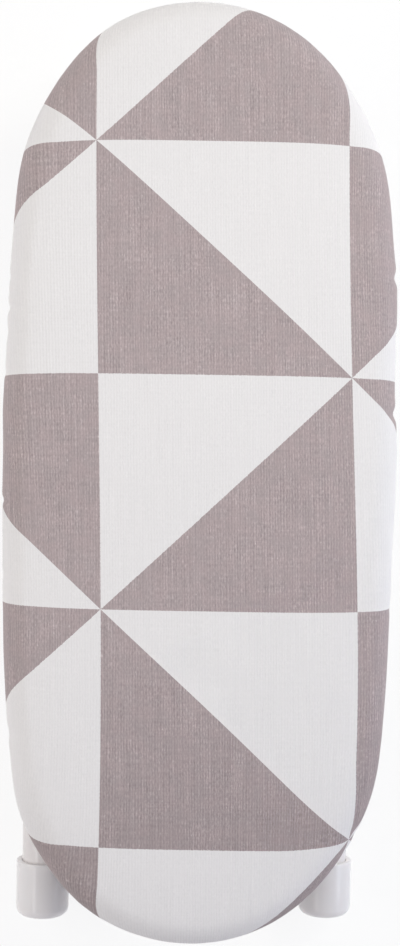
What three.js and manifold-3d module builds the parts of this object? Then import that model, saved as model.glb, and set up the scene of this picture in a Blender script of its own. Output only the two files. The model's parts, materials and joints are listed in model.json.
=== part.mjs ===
// Tabletop ironing board: a padded cloth cover on a pierced steel deck, carried by two U-shaped
// leg tubes that cross like scissors. Folded flat here, lying on its four foot caps.
// Millimetres. X runs across the board, +Y to its far end and +Z up. The origin is on the floor
// under the middle of the board.

import * as THREE from "three";
import { mergeVertices } from "three/addons/utils/BufferGeometryUtils.js";
import Module from "manifold-3d";

const wasm = await Module();
wasm.setup();

// Board outline, over the cover
const BOARD_LENGTH = 482;
const BOARD_WIDTH = 200;
const END_FULLNESS = 4.1;
const OUTLINE_POINTS = 48;

// Cover, pad and pierced deck
const COVER_THICKNESS = 0.9;
const EDGE_ROUNDING = 12;
const COVER_RETURN = 22;
const ELASTIC_DIAMETER = 3;
const HEM_TURN = 230;
const PAD_THICKNESS = 7;
const DECK_THICKNESS = 1.2;
const DIAMOND_LENGTH = 42;
const DIAMOND_WIDTH = 21;
const STRAND_WIDTH = 3.5;

// Rolled rim and pressed cross rails under the deck
const RIM_DIAMETER = 10;
const RIM_WALL = 1.2;
const RIM_SEAM = 70;
const RAIL_WALL = 1.5;
const RAIL_BEND = 2.2;
const RAIL_WIDTH = 28;

// Leg tubes, and how far from the board's ends their crossbars and feet lie when folded
const TUBE_DIAMETER = 22;
const TUBE_WALL = 1.2;
const TUBE_SIDES = 16;
const BEND_RADIUS = 26;
const BEND_STEPS = 6;
const LEG_INSET = 24;
const LEG_GAP = 2.5;
const FOLD_CLEARANCE = 1;
const PIVOT_INSET = 100;
const SLIDE_INSET = 83;
const FOOT_INSET = 4;
const OPEN_ANGLE = 30;

// Foot caps
const CAP_WALL = 2.7;
const CAP_LENGTH = 30;
const CAP_FLOOR = 5;
const CAP_ROUNDING = 5;
const CAP_RIM_ROUNDING = 0.8;
const CAP_SIDES = 18;

// Pivot of the outer leg: a nylon seat over the crossbar and a steel strap under it
const STRAP_WALL = 1.5;
const STRAP_WIDTH = 16;
const STRAP_FOOT = 18;
const STRAP_SIDE_GAP = 6.5;
const STRAP_BEND = 2.5;
const SEAT_TAB = 3;
const SEAT_WRAP = 6;

// Notched racks and keeper straps that guide the inner leg's crossbar
const RACK_WIDTH = 12;
const RACK_BACK = 2;
const RACK_END_GAP = 2.5;
const NOTCH_DEPTH = 4;
const NOTCH_LAND = 1.5;
const SLIDE_GAP = 0.7;
const KEEPER_WALL = 1.5;
const KEEPER_FOOT = 18;
const KEEPER_BEND = 3;
const KEEPER_END_GAP = 1.5;

// Rivets through the rails, and the pins where the legs cross
const RIVET_DIAMETER = 4.6;
const RIVET_HEAD = 9;
const RIVET_HEAD_HEIGHT = 2;
const RIVET_SIDES = 10;
const PIN_DIAMETER = 6;
const PIN_HEAD = 14;
const PIN_HEAD_HEIGHT = 3;
const PIN_CAP_LENGTH = 6;
const PIN_CAP_FLOOR = 1.5;
const SPACER_DIAMETER = 16;
const PIN_SIDES = 16;

// Gap kept between pieces that touch
const SEAT_GAP = 0.3;

const radians = THREE.MathUtils.degToRad;

// Angles and heights that follow from the sizes above
const tubeRadius = TUBE_DIAMETER / 2;
const boreRadius = tubeRadius + SEAT_GAP;
const capRadius = boreRadius + CAP_WALL;
const outerHalf = BOARD_WIDTH / 2 - LEG_INSET;
const innerHalf = outerHalf - TUBE_DIAMETER - LEG_GAP;
const pivotY = BOARD_LENGTH / 2 - PIVOT_INSET;
const foldedSlideY = SLIDE_INSET - BOARD_LENGTH / 2;

// Folded, the inner leg passes just under the outer crossbar. The pins sit halfway between the two
// crossbars, so the inner crossbar stays level with the pivot as the legs open.
const foldAngle = Math.asin((TUBE_DIAMETER + FOLD_CLEARANCE) / (pivotY - foldedSlideY));
const pinReach = (pivotY - foldedSlideY) / 2 / Math.cos(foldAngle);
const legReach = (pivotY + BOARD_LENGTH / 2 - FOOT_INSET) / Math.cos(foldAngle);
const openSlideY = pivotY - 2 * pinReach * Math.cos(radians(OPEN_ANGLE));

const pivotZ = (legReach - CAP_ROUNDING) * Math.sin(foldAngle)
  + (capRadius - CAP_ROUNDING) * Math.cos(foldAngle) + CAP_ROUNDING;
const laneRadius = tubeRadius + SLIDE_GAP;
const railZ = pivotZ + laneRadius + NOTCH_DEPTH + RACK_BACK + SEAT_GAP;
const deckZ = railZ + RIM_DIAMETER + SEAT_GAP;
const padZ = deckZ + DECK_THICKNESS + SEAT_GAP;
const padTopZ = padZ + PAD_THICKNESS;
const coverTopZ = padTopZ + SEAT_GAP + COVER_THICKNESS;
const rimZ = railZ + RIM_DIAMETER / 2;
const rimInset = RIM_DIAMETER / 2 + SEAT_GAP + COVER_THICKNESS;

const cloth = new THREE.MeshStandardMaterial({ color: 0xd0c8c8, roughness: 0.9 });
const felt = new THREE.MeshStandardMaterial({ color: 0xdcdad6, roughness: 1 });
const elastic = new THREE.MeshStandardMaterial({ color: 0xe8e6e2, roughness: 0.9 });
const paintedSteel = new THREE.MeshStandardMaterial({ color: 0xe6e4e3, roughness: 0.35 });
const zincSteel = new THREE.MeshStandardMaterial({ color: 0xb4b6b8, roughness: 0.4, metalness: 0.9 });
const nylon = new THREE.MeshStandardMaterial({ color: 0xdad8d4, roughness: 0.55 });
const capPlastic = new THREE.MeshStandardMaterial({ color: 0xdfdddd, roughness: 0.45 });

const board = new THREE.Group();

function addPiece(parent, name, geometry, material) {
  const mesh = new THREE.Mesh(geometry, material);
  mesh.name = name;
  parent.add(mesh);
  return mesh;
}

// Closed geometry to a solid that can be cut, and back
function toSolid(geometry) {
  const bare = geometry.clone();
  bare.deleteAttribute("normal");
  bare.deleteAttribute("uv");
  const welded = mergeVertices(bare, 1e-4);
  return new wasm.Manifold(new wasm.Mesh({
    numProp: 3,
    vertProperties: Float32Array.from(welded.attributes.position.array),
    triVerts: Uint32Array.from(welded.index.array),
  }));
}

function toGeometry(solid) {
  const mesh = solid.getMesh();
  return surface(Array.from(mesh.vertProperties), Array.from(mesh.triVerts));
}

function surface(positions, triangles) {
  const geometry = new THREE.BufferGeometry();
  geometry.setAttribute("position", new THREE.Float32BufferAttribute(positions, 3));
  geometry.setIndex(triangles);
  geometry.computeVertexNormals();
  return geometry;
}

function cut(geometry, tools) {
  let solid = toSolid(geometry);
  for (const tool of tools) {
    solid = solid.subtract(toSolid(tool));
  }
  return toGeometry(solid);
}

// Outline x = a sqrt(1 - |y/b|^END_FULLNESS). One quarter is stepped finely, then points are
// picked so that each step shares out equal parts of the length and of the turning.
function quarterOutline() {
  const halfWidth = BOARD_WIDTH / 2;
  const halfLength = BOARD_LENGTH / 2;
  const fineSteps = 2000;
  const fine = [];
  for (let i = 0; i <= fineSteps; i += 1) {
    const sweep = (Math.PI / 2) * (i / fineSteps) ** (END_FULLNESS / 2);
    const x = halfWidth * Math.cos(sweep);
    const y = halfLength * Math.sin(sweep) ** (2 / END_FULLNESS);
    const slope = END_FULLNESS * y ** (END_FULLNESS - 1) / halfLength ** END_FULLNESS;
    const normal = new THREE.Vector2(2 * x / halfWidth ** 2, slope).normalize();
    fine.push({ point: new THREE.Vector2(x, y), normal });
  }
  const lengths = [0];
  for (let i = 1; i <= fineSteps; i += 1) {
    lengths.push(lengths[i - 1] + fine[i].point.distanceTo(fine[i - 1].point));
  }
  const share = (i) => lengths[i] / lengths[fineSteps] + fine[i].normal.angle() / (Math.PI / 2);
  const count = OUTLINE_POINTS / 4;
  const picked = [];
  let index = 0;
  for (let k = 0; k < count; k += 1) {
    while (share(index) < 2 * k / count) {
      index += 1;
    }
    picked.push(fine[index]);
  }
  picked.push(fine[fineSteps]);
  return picked;
}

function mirrored(sample, signX, signY) {
  return {
    point: new THREE.Vector2(sample.point.x * signX, sample.point.y * signY),
    normal: new THREE.Vector2(sample.normal.x * signX, sample.normal.y * signY),
  };
}

const quarter = quarterOutline();
const rising = quarter.slice(0, -1);
const falling = quarter.slice(1).reverse();
const outline = [
  ...rising,
  ...falling.map((sample) => mirrored(sample, -1, 1)),
  ...rising.map((sample) => mirrored(sample, -1, -1)),
  ...falling.map((sample) => mirrored(sample, 1, -1)),
];

function outlineAt(inset) {
  return outline.map(({ point, normal }) => point.clone().addScaledVector(normal, -inset));
}

// Section points (x = inset from the outline, y = height) swept round the outline. The section
// runs from the top, outwards and down. It joins up into a ring, or its two ends are filled flat.
function sweepOutline(section, isRing) {
  const positions = [];
  for (const { x: inset, y: height } of section) {
    for (const point of outlineAt(inset)) {
      positions.push(point.x, point.y, height);
    }
  }
  const around = outline.length;
  const triangles = [];
  const bands = isRing ? section.length : section.length - 1;
  for (let band = 0; band < bands; band += 1) {
    const upper = band * around;
    const lower = ((band + 1) % section.length) * around;
    for (let j = 0; j < around; j += 1) {
      const next = (j + 1) % around;
      triangles.push(upper + j, lower + j, lower + next);
      triangles.push(upper + j, lower + next, upper + next);
    }
  }
  if (!isRing) {
    const last = (section.length - 1) * around;
    for (const [a, b, c] of THREE.ShapeUtils.triangulateShape(outlineAt(section[0].x), [])) {
      triangles.push(a, b, c);
    }
    for (const [a, b, c] of THREE.ShapeUtils.triangulateShape(outlineAt(section.at(-1).x), [])) {
      triangles.push(last + a, last + c, last + b);
    }
  }
  return surface(positions, triangles);
}

function arcPoints(middle, radiusX, radiusY, fromDegrees, toDegrees, steps) {
  const points = [];
  for (let i = 0; i <= steps; i += 1) {
    const angle = radians(fromDegrees + (toDegrees - fromDegrees) * i / steps);
    points.push(new THREE.Vector2(
      middle.x + radiusX * Math.cos(angle),
      middle.y + radiusY * Math.sin(angle),
    ));
  }
  return points;
}

// Line through corners [x, y, radius], each corner rounded to its radius. Two roundings may meet.
function roundedLine(corners, steps) {
  const points = [];
  corners.forEach(([x, y, radius], i) => {
    const corner = new THREE.Vector2(x, y);
    if (i === 0 || i === corners.length - 1) {
      points.push(corner);
      return;
    }
    const back = new THREE.Vector2(corners[i - 1][0], corners[i - 1][1]).sub(corner).normalize();
    const ahead = new THREE.Vector2(corners[i + 1][0], corners[i + 1][1]).sub(corner).normalize();
    const half = Math.acos(THREE.MathUtils.clamp(back.dot(ahead), -1, 1)) / 2;
    const middle = back.clone().add(ahead).normalize().multiplyScalar(radius / Math.sin(half));
    middle.add(corner);
    const start = corner.clone().addScaledVector(back, radius / Math.tan(half)).sub(middle);
    const turn = (Math.PI - 2 * half) * Math.sign(ahead.cross(back));
    for (let step = 0; step <= steps; step += 1) {
      const spoke = start.clone().rotateAround(new THREE.Vector2(), turn * step / steps);
      points.push(spoke.add(middle));
    }
  });
  return points.filter((point, i) => i === 0 || point.distanceTo(points[i - 1]) > 1e-6);
}

// The two faces of a sheet whose middle line runs through the points
function sheetFaces(points, thickness) {
  const left = [];
  const right = [];
  points.forEach((point, i) => {
    const before = points[Math.max(i - 1, 0)];
    const after = points[Math.min(i + 1, points.length - 1)];
    const arrive = (i === 0 ? after.clone().sub(point) : point.clone().sub(before)).normalize();
    const leave = (i === points.length - 1 ? arrive : after.clone().sub(point)).clone().normalize();
    const normal = new THREE.Vector2(-arrive.y - leave.y, arrive.x + leave.x).normalize();
    const reach = thickness / 2 / (normal.x * -leave.y + normal.y * leave.x);
    left.push(point.clone().addScaledVector(normal, reach));
    right.push(point.clone().addScaledVector(normal, -reach));
  });
  return { left, right };
}

function sheetShape(points, thickness) {
  const { left, right } = sheetFaces(points, thickness);
  return new THREE.Shape([...left, ...right.reverse()]);
}

// Shape drawn in Y and Z, run along X about the given middle
function runAlongX(shape, length, middleX, curveSegments) {
  const geometry = new THREE.ExtrudeGeometry(shape, { depth: length, bevelEnabled: false, curveSegments });
  const turn = new THREE.Matrix4().makeBasis(
    new THREE.Vector3(0, 1, 0),
    new THREE.Vector3(0, 0, 1),
    new THREE.Vector3(1, 0, 0),
  );
  geometry.applyMatrix4(turn);
  geometry.translate(middleX - length / 2, 0, 0);
  return geometry;
}

function rodAlongX(radius, length, x, y, z, sides) {
  const rod = new THREE.CylinderGeometry(radius, radius, length, sides);
  rod.rotateZ(Math.PI / 2);
  rod.translate(x, y, z);
  return rod;
}

function rodAlongZ(radius, length, x, y, z, sides) {
  const rod = new THREE.CylinderGeometry(radius, radius, length, sides);
  rod.rotateX(Math.PI / 2);
  rod.translate(x, y, z);
  return rod;
}

// Cloth cover: flat top, rounded edge, wrapped round the rim and drawn in under it to a hem that
// is turned down round an elastic
const clothMiddle = COVER_THICKNESS / 2;
const coverBottomZ = railZ - SEAT_GAP - clothMiddle;
const hemRadius = ELASTIC_DIAMETER / 2 + SEAT_GAP + clothMiddle;
const hemMiddle = new THREE.Vector2(-rimInset - COVER_RETURN, coverBottomZ - hemRadius);
const clothLine = [
  ...arcPoints(
    new THREE.Vector2(-EDGE_ROUNDING, rimZ),
    EDGE_ROUNDING - clothMiddle,
    coverTopZ - clothMiddle - rimZ,
    90, 0, 4,
  ),
  ...arcPoints(
    new THREE.Vector2(-rimInset, rimZ),
    rimInset - clothMiddle,
    rimInset - clothMiddle,
    -30, -90, 2,
  ),
  ...arcPoints(hemMiddle, hemRadius, hemRadius, 90, 90 + HEM_TURN, 4),
];
const clothFaces = sheetFaces(clothLine, COVER_THICKNESS);
const insetSection = (points) => points.map((point) => new THREE.Vector2(-point.x, point.y));
const coverSection = insetSection([...clothFaces.left, ...clothFaces.right.reverse()]);
addPiece(board, "cover", sweepOutline(coverSection, false), cloth);

const elasticSection = insetSection(
  arcPoints(hemMiddle, ELASTIC_DIAMETER / 2, ELASTIC_DIAMETER / 2, 90, -210, 5),
);
addPiece(board, "hem_elastic", sweepOutline(elasticSection, true), elastic);

// Felt pad: a slab whose edge follows the rounding of the cover
const padEdge = COVER_THICKNESS + SEAT_GAP;
const padFall = padTopZ - rimZ;
const padLowest = THREE.MathUtils.radToDeg(Math.asin((padZ - rimZ) / padFall));
const padSection = insetSection(arcPoints(
  new THREE.Vector2(-EDGE_ROUNDING, rimZ), EDGE_ROUNDING - padEdge, padFall, 90, padLowest, 5,
));
addPiece(board, "pad", sweepOutline(padSection, false), felt);

// Pierced steel deck: a lattice of diamonds wherever one fits whole inside the rim
const latticeInradius = DIAMOND_LENGTH * DIAMOND_WIDTH / 2 / Math.hypot(DIAMOND_LENGTH, DIAMOND_WIDTH);
const diamondShare = 1 - STRAND_WIDTH / 2 / latticeInradius;
const diamondHalfX = DIAMOND_WIDTH / 2 * diamondShare;
const diamondHalfY = DIAMOND_LENGTH / 2 * diamondShare;
const clearHalfX = BOARD_WIDTH / 2 - rimInset - RIM_DIAMETER / 2;
const clearHalfY = BOARD_LENGTH / 2 - rimInset - RIM_DIAMETER / 2;
const fitsInRim = (x, y) => (x / clearHalfX) ** 2 + Math.abs(y / clearHalfY) ** END_FULLNESS < 1;

const deckShape = new THREE.Shape(outlineAt(rimInset));
const latticeColumns = Math.ceil(BOARD_WIDTH / DIAMOND_WIDTH);
const latticeRows = Math.ceil(BOARD_LENGTH / DIAMOND_LENGTH);
for (let column = -latticeColumns; column <= latticeColumns; column += 1) {
  for (let row = -latticeRows; row <= latticeRows; row += 1) {
    const x = column * DIAMOND_WIDTH / 2;
    const y = (row + (column & 1) / 2) * DIAMOND_LENGTH;
    const corners = [
      new THREE.Vector2(x + diamondHalfX, y),
      new THREE.Vector2(x, y + diamondHalfY),
      new THREE.Vector2(x - diamondHalfX, y),
      new THREE.Vector2(x, y - diamondHalfY),
    ];
    if (corners.every((corner) => fitsInRim(corner.x, corner.y))) {
      deckShape.holes.push(new THREE.Path(corners));
    }
  }
}
const deckSheet = new THREE.ExtrudeGeometry(deckShape, { depth: DECK_THICKNESS, bevelEnabled: false });
deckSheet.translate(0, 0, deckZ);
addPiece(board, "deck", deckSheet, paintedSteel);

// Rim rolled from strip, its seam open towards the deck
const rimLine = arcPoints(
  new THREE.Vector2(-rimInset, rimZ),
  (RIM_DIAMETER - RIM_WALL) / 2,
  (RIM_DIAMETER - RIM_WALL) / 2,
  180 - RIM_SEAM / 2,
  RIM_SEAM / 2 - 180,
  6,
);
const rimFaces = sheetFaces(rimLine, RIM_WALL);
const rimSection = insetSection([...rimFaces.left, ...rimFaces.right.reverse()]);
addPiece(board, "rim", sweepOutline(rimSection, true), paintedSteel);

// Cross rails: pressed channels, open upwards, whose ends meet the rim
const rimInside = toSolid(sweepOutline([
  new THREE.Vector2(rimInset + RIM_DIAMETER / 2 + SEAT_GAP, coverTopZ),
  new THREE.Vector2(rimInset + RIM_DIAMETER / 2 + SEAT_GAP, 0),
], false));

function crossRail(middleY, rivetX) {
  const low = railZ + RAIL_WALL / 2;
  const high = railZ + RIM_DIAMETER;
  const side = (RAIL_WIDTH - RAIL_WALL) / 2;
  const line = roundedLine([
    [middleY - side, high, 0],
    [middleY - side, low, RAIL_BEND],
    [middleY + side, low, RAIL_BEND],
    [middleY + side, high, 0],
  ], 2);
  const channel = runAlongX(sheetShape(line, RAIL_WALL), BOARD_WIDTH, 0, 1);
  const holes = rivetX.map((x) => (
    rodAlongZ(RIVET_DIAMETER / 2 + SEAT_GAP, RIM_DIAMETER, x, middleY, railZ, RIVET_SIDES)
  ));
  return toGeometry(toSolid(cut(channel, holes)).intersect(rimInside));
}

// Pivot places, between the two far rails
const strapLine = tubeRadius + SEAT_GAP + STRAP_WALL / 2;
const strapMiddle = innerHalf - tubeRadius - STRAP_SIDE_GAP - STRAP_WIDTH / 2;
const seatTopZ = railZ - SEAT_GAP;
const strapFootZ = seatTopZ - SEAT_TAB - SEAT_GAP - STRAP_WALL / 2;
const strapEnd = strapLine + STRAP_FOOT;
const strapRivet = strapLine + STRAP_FOOT / 2 + STRAP_BEND / 2;
const sides = [["left", -1], ["right", 1]];
const ends = [["near", -1], ["far", 1]];

for (const [end, endSign] of ends) {
  const rail = crossRail(pivotY + endSign * strapRivet, [-strapMiddle, strapMiddle]);
  addPiece(board, `pivot_rail_${end}`, rail, paintedSteel);
}

// Guide places, between the two near rails
const laneNearY = foldedSlideY - tubeRadius - KEEPER_END_GAP;
const laneFarY = openSlideY + tubeRadius + KEEPER_END_GAP;
const keeperNearY = laneNearY - KEEPER_WALL / 2;
const keeperFarY = laneFarY + KEEPER_WALL / 2;
const guideRivet = KEEPER_FOOT / 2 + KEEPER_BEND / 2;
const guideNearY = keeperNearY - guideRivet;
const guideFarY = keeperFarY + guideRivet;
const rackMiddle = innerHalf - BEND_RADIUS - RACK_END_GAP - RACK_WIDTH / 2;

for (const [end, y] of [["near", guideNearY], ["far", guideFarY]]) {
  addPiece(board, `slide_rail_${end}`, crossRail(y, [-rackMiddle, rackMiddle]), paintedSteel);
}
const middleRailY = (guideFarY + pivotY - strapRivet) / 2;
addPiece(board, "middle_rail", crossRail(middleRailY, []), paintedSteel);

// Rivet set through a stack that starts at the given height
function rivet(x, y, z, grip) {
  const head = RIVET_HEAD / 2;
  const shank = RIVET_DIAMETER / 2;
  const dome = arcPoints(new THREE.Vector2(0, 0), head, RIVET_HEAD_HEIGHT, 0, 90, 2);
  const profile = [
    ...dome.map((point) => new THREE.Vector2(point.x, -SEAT_GAP - point.y)).reverse(),
    new THREE.Vector2(shank, -SEAT_GAP),
    new THREE.Vector2(shank, grip + SEAT_GAP),
    ...dome.map((point) => new THREE.Vector2(point.x, grip + SEAT_GAP + point.y)),
  ];
  profile[0].x = 0;
  profile.at(-1).x = 0;
  const geometry = new THREE.LatheGeometry(profile, RIVET_SIDES);
  geometry.rotateX(Math.PI / 2);
  geometry.translate(x, y, z);
  return geometry;
}

// Pivot seats and straps
function pivotSeat(x) {
  const tabZ = seatTopZ - SEAT_TAB;
  const lowZ = pivotZ + tubeRadius - SEAT_WRAP;
  const lipAngle = Math.asin((lowZ - pivotZ) / boreRadius);
  const shape = new THREE.Shape();
  shape.moveTo(pivotY - strapEnd, seatTopZ);
  shape.lineTo(pivotY - strapEnd, tabZ);
  shape.lineTo(pivotY - tubeRadius, tabZ);
  shape.lineTo(pivotY - tubeRadius, lowZ);
  shape.absarc(pivotY, pivotZ, boreRadius, Math.PI - lipAngle, lipAngle, true);
  shape.lineTo(pivotY + tubeRadius, lowZ);
  shape.lineTo(pivotY + tubeRadius, tabZ);
  shape.lineTo(pivotY + strapEnd, tabZ);
  shape.lineTo(pivotY + strapEnd, seatTopZ);
  const holes = [-strapRivet, strapRivet].map((offset) => (
    rodAlongZ(RIVET_DIAMETER / 2 + SEAT_GAP, 4 * SEAT_TAB, x, pivotY + offset, seatTopZ, RIVET_SIDES)
  ));
  return cut(runAlongX(shape, STRAP_WIDTH, x, 12), holes);
}

function pivotStrap(x) {
  const bottomZ = pivotZ - strapLine;
  const line = roundedLine([
    [pivotY - strapEnd, strapFootZ, 0],
    [pivotY - strapLine, strapFootZ, STRAP_BEND],
    [pivotY - strapLine, bottomZ, strapLine],
    [pivotY + strapLine, bottomZ, strapLine],
    [pivotY + strapLine, strapFootZ, STRAP_BEND],
    [pivotY + strapEnd, strapFootZ, 0],
  ], 5);
  const holes = [-strapRivet, strapRivet].map((offset) => (
    rodAlongZ(RIVET_DIAMETER / 2 + SEAT_GAP, 4 * STRAP_WALL, x, pivotY + offset, strapFootZ, RIVET_SIDES)
  ));
  return cut(runAlongX(sheetShape(line, STRAP_WALL), STRAP_WIDTH, x, 1), holes);
}

const strapUnderZ = strapFootZ - STRAP_WALL / 2;
for (const [side, sign] of sides) {
  const x = sign * strapMiddle;
  addPiece(board, `pivot_seat_${side}`, pivotSeat(x), nylon);
  addPiece(board, `pivot_strap_${side}`, pivotStrap(x), zincSteel);
  for (const [end, endSign] of ends) {
    const y = pivotY + endSign * strapRivet;
    const geometry = rivet(x, y, strapUnderZ, railZ + RAIL_WALL - strapUnderZ);
    addPiece(board, `pivot_rivet_${side}_${end}`, geometry, zincSteel);
  }
}

// Racks: a comb of round notches, evenly spread from the folded to the fully open place, with as
// many between as there is room for
const guideEndNear = keeperNearY - KEEPER_FOOT;
const guideEndFar = keeperFarY + KEEPER_FOOT;
const rackTopZ = railZ - SEAT_GAP;
const rackBackZ = rackTopZ - RACK_BACK;
const notchTipZ = pivotZ + laneRadius;
const notchHalf = Math.sqrt(laneRadius ** 2 - (laneRadius - NOTCH_DEPTH) ** 2);
const slideTravel = openSlideY - foldedSlideY;
const notchSteps = Math.max(1, Math.floor(slideTravel / (2 * notchHalf + NOTCH_LAND)));

function rack(x) {
  const toothedNear = laneNearY + SEAT_GAP;
  const toothedFar = laneFarY - SEAT_GAP;
  const shape = new THREE.Shape();
  shape.moveTo(guideEndNear, rackTopZ);
  shape.lineTo(guideEndNear, rackBackZ);
  shape.lineTo(toothedNear, rackBackZ);
  shape.lineTo(toothedNear, notchTipZ);
  shape.lineTo(toothedFar, notchTipZ);
  shape.lineTo(toothedFar, rackBackZ);
  shape.lineTo(guideEndFar, rackBackZ);
  shape.lineTo(guideEndFar, rackTopZ);
  const tools = [guideNearY, guideFarY].map((y) => (
    rodAlongZ(RIVET_DIAMETER / 2 + SEAT_GAP, 4 * RACK_BACK, x, y, rackTopZ, RIVET_SIDES)
  ));
  for (let step = 0; step <= notchSteps; step += 1) {
    const y = foldedSlideY + slideTravel * step / notchSteps;
    tools.push(rodAlongX(laneRadius, 2 * RACK_WIDTH, x, y, pivotZ + NOTCH_DEPTH, 32));
  }
  return cut(runAlongX(shape, RACK_WIDTH, x, 1), tools);
}

function keeper(x) {
  const footZ = rackBackZ - SEAT_GAP - KEEPER_WALL / 2;
  const bottomZ = pivotZ - laneRadius - KEEPER_WALL / 2;
  const line = roundedLine([
    [guideEndNear, footZ, 0],
    [keeperNearY, footZ, KEEPER_BEND],
    [keeperNearY, bottomZ, KEEPER_BEND],
    [keeperFarY, bottomZ, KEEPER_BEND],
    [keeperFarY, footZ, KEEPER_BEND],
    [guideEndFar, footZ, 0],
  ], 4);
  const holes = [guideNearY, guideFarY].map((y) => (
    rodAlongZ(RIVET_DIAMETER / 2 + SEAT_GAP, 4 * KEEPER_WALL, x, y, footZ, RIVET_SIDES)
  ));
  return cut(runAlongX(sheetShape(line, KEEPER_WALL), RACK_WIDTH, x, 1), holes);
}

const keeperUnderZ = rackBackZ - SEAT_GAP - KEEPER_WALL;
for (const [side, sign] of sides) {
  const x = sign * rackMiddle;
  addPiece(board, `rack_${side}`, rack(x), nylon);
  addPiece(board, `keeper_${side}`, keeper(x), zincSteel);
  for (const [end, y] of [["near", guideNearY], ["far", guideFarY]]) {
    const geometry = rivet(x, y, keeperUnderZ, railZ + RAIL_WALL - keeperUnderZ);
    addPiece(board, `guide_rivet_${side}_${end}`, geometry, zincSteel);
  }
}

// Leg tube bent to a U, its crossbar on the X axis and its two legs along Y
function legTube(half, direction) {
  const length = legReach - CAP_FLOOR - SEAT_GAP;
  const stations = [{ x: -half, y: length, heading: 180 }];
  for (let i = 0; i <= BEND_STEPS; i += 1) {
    const heading = 180 - 90 * i / BEND_STEPS;
    const angle = radians(heading);
    const x = -half + BEND_RADIUS + BEND_RADIUS * Math.cos(angle);
    stations.push({ x, y: BEND_RADIUS - BEND_RADIUS * Math.sin(angle), heading });
  }
  const mirroredStations = stations.map(({ x, y, heading }) => ({ x: -x, y, heading: 180 - heading }));
  stations.push(...mirroredStations.reverse());

  const positions = [];
  for (const radius of [tubeRadius, tubeRadius - TUBE_WALL]) {
    for (const { x, y, heading } of stations) {
      const spoke = new THREE.Vector2(Math.cos(radians(heading)), -Math.sin(radians(heading)));
      for (let k = 0; k < TUBE_SIDES; k += 1) {
        const angle = 2 * Math.PI * k / TUBE_SIDES;
        const out = radius * Math.cos(angle);
        positions.push(x + spoke.x * out, direction * (y + spoke.y * out), radius * Math.sin(angle));
      }
    }
  }
  const rings = stations.length;
  const triangles = [];
  const band = (from, to) => {
    for (let k = 0; k < TUBE_SIDES; k += 1) {
      const next = (k + 1) % TUBE_SIDES;
      const corners = [from + k, to + k, to + next, from + next];
      if (direction < 0) {
        corners.reverse();
      }
      triangles.push(corners[0], corners[1], corners[2], corners[0], corners[2], corners[3]);
    }
  };
  const inside = rings * TUBE_SIDES;
  for (let i = 0; i + 1 < rings; i += 1) {
    band(i * TUBE_SIDES, (i + 1) * TUBE_SIDES);
    band(inside + (i + 1) * TUBE_SIDES, inside + i * TUBE_SIDES);
  }
  band(inside, 0);
  band((rings - 1) * TUBE_SIDES, inside + (rings - 1) * TUBE_SIDES);

  const pinHoles = [-half, half].map((x) => (
    rodAlongX(PIN_DIAMETER / 2 + SEAT_GAP, 2 * TUBE_DIAMETER, x, direction * pinReach, 0, PIN_SIDES)
  ));
  return cut(surface(positions, triangles), pinHoles);
}

// Foot cap: a cup moulded in plastic and pushed over the end of the tube, its closed end at y = 0
function footCap() {
  const profile = [
    new THREE.Vector2(0, 0),
    ...arcPoints(
      new THREE.Vector2(capRadius - CAP_ROUNDING, CAP_ROUNDING), CAP_ROUNDING, CAP_ROUNDING, -90, 0, 3,
    ),
    ...arcPoints(
      new THREE.Vector2(capRadius - CAP_RIM_ROUNDING, CAP_LENGTH - CAP_RIM_ROUNDING),
      CAP_RIM_ROUNDING, CAP_RIM_ROUNDING, 0, 90, 2,
    ),
    new THREE.Vector2(boreRadius, CAP_LENGTH),
    new THREE.Vector2(boreRadius, CAP_FLOOR),
    new THREE.Vector2(0, CAP_FLOOR),
  ];
  return new THREE.LatheGeometry(profile, CAP_SIDES);
}

// Outer leg turns in the pivot seats; inner leg crosses it and slides along the racks
const outerLeg = new THREE.Group();
outerLeg.position.set(0, pivotY, pivotZ);
outerLeg.rotation.x = foldAngle;
board.add(outerLeg);
addPiece(outerLeg, "outer_leg", legTube(outerHalf, -1), paintedSteel);

const innerLeg = new THREE.Group();
innerLeg.position.set(0, foldedSlideY, pivotZ);
innerLeg.rotation.x = -foldAngle;
board.add(innerLeg);
addPiece(innerLeg, "inner_leg", legTube(innerHalf, 1), paintedSteel);

for (const [side, sign] of sides) {
  const nearCap = addPiece(outerLeg, `foot_cap_near_${side}`, footCap(), capPlastic);
  nearCap.position.set(sign * outerHalf, -legReach, 0);
  const farCap = addPiece(innerLeg, `foot_cap_far_${side}`, footCap(), capPlastic);
  farCap.position.set(sign * innerHalf, legReach, 0);
  farCap.rotation.z = Math.PI;
}

// Crossing pins: headed on the outside, a spacer between the legs and a push-on cap inside
function lathedAlongX(profile, sign, x) {
  const geometry = new THREE.LatheGeometry(profile, PIN_SIDES);
  geometry.rotateZ(-sign * Math.PI / 2);
  geometry.translate(sign * x, -pinReach, 0);
  return geometry;
}

const pinOutside = outerHalf + tubeRadius + SEAT_GAP;
const pinInside = innerHalf - tubeRadius - SEAT_GAP;
const pinEnd = pinInside - PIN_CAP_LENGTH + PIN_CAP_FLOOR + SEAT_GAP;
const pinProfile = [
  new THREE.Vector2(0, pinEnd - pinOutside),
  new THREE.Vector2(PIN_DIAMETER / 2, pinEnd - pinOutside),
  new THREE.Vector2(PIN_DIAMETER / 2, 0),
  ...arcPoints(new THREE.Vector2(0, 0), PIN_HEAD / 2, PIN_HEAD_HEIGHT, 0, 90, 4),
];
pinProfile.at(-1).x = 0;

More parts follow.
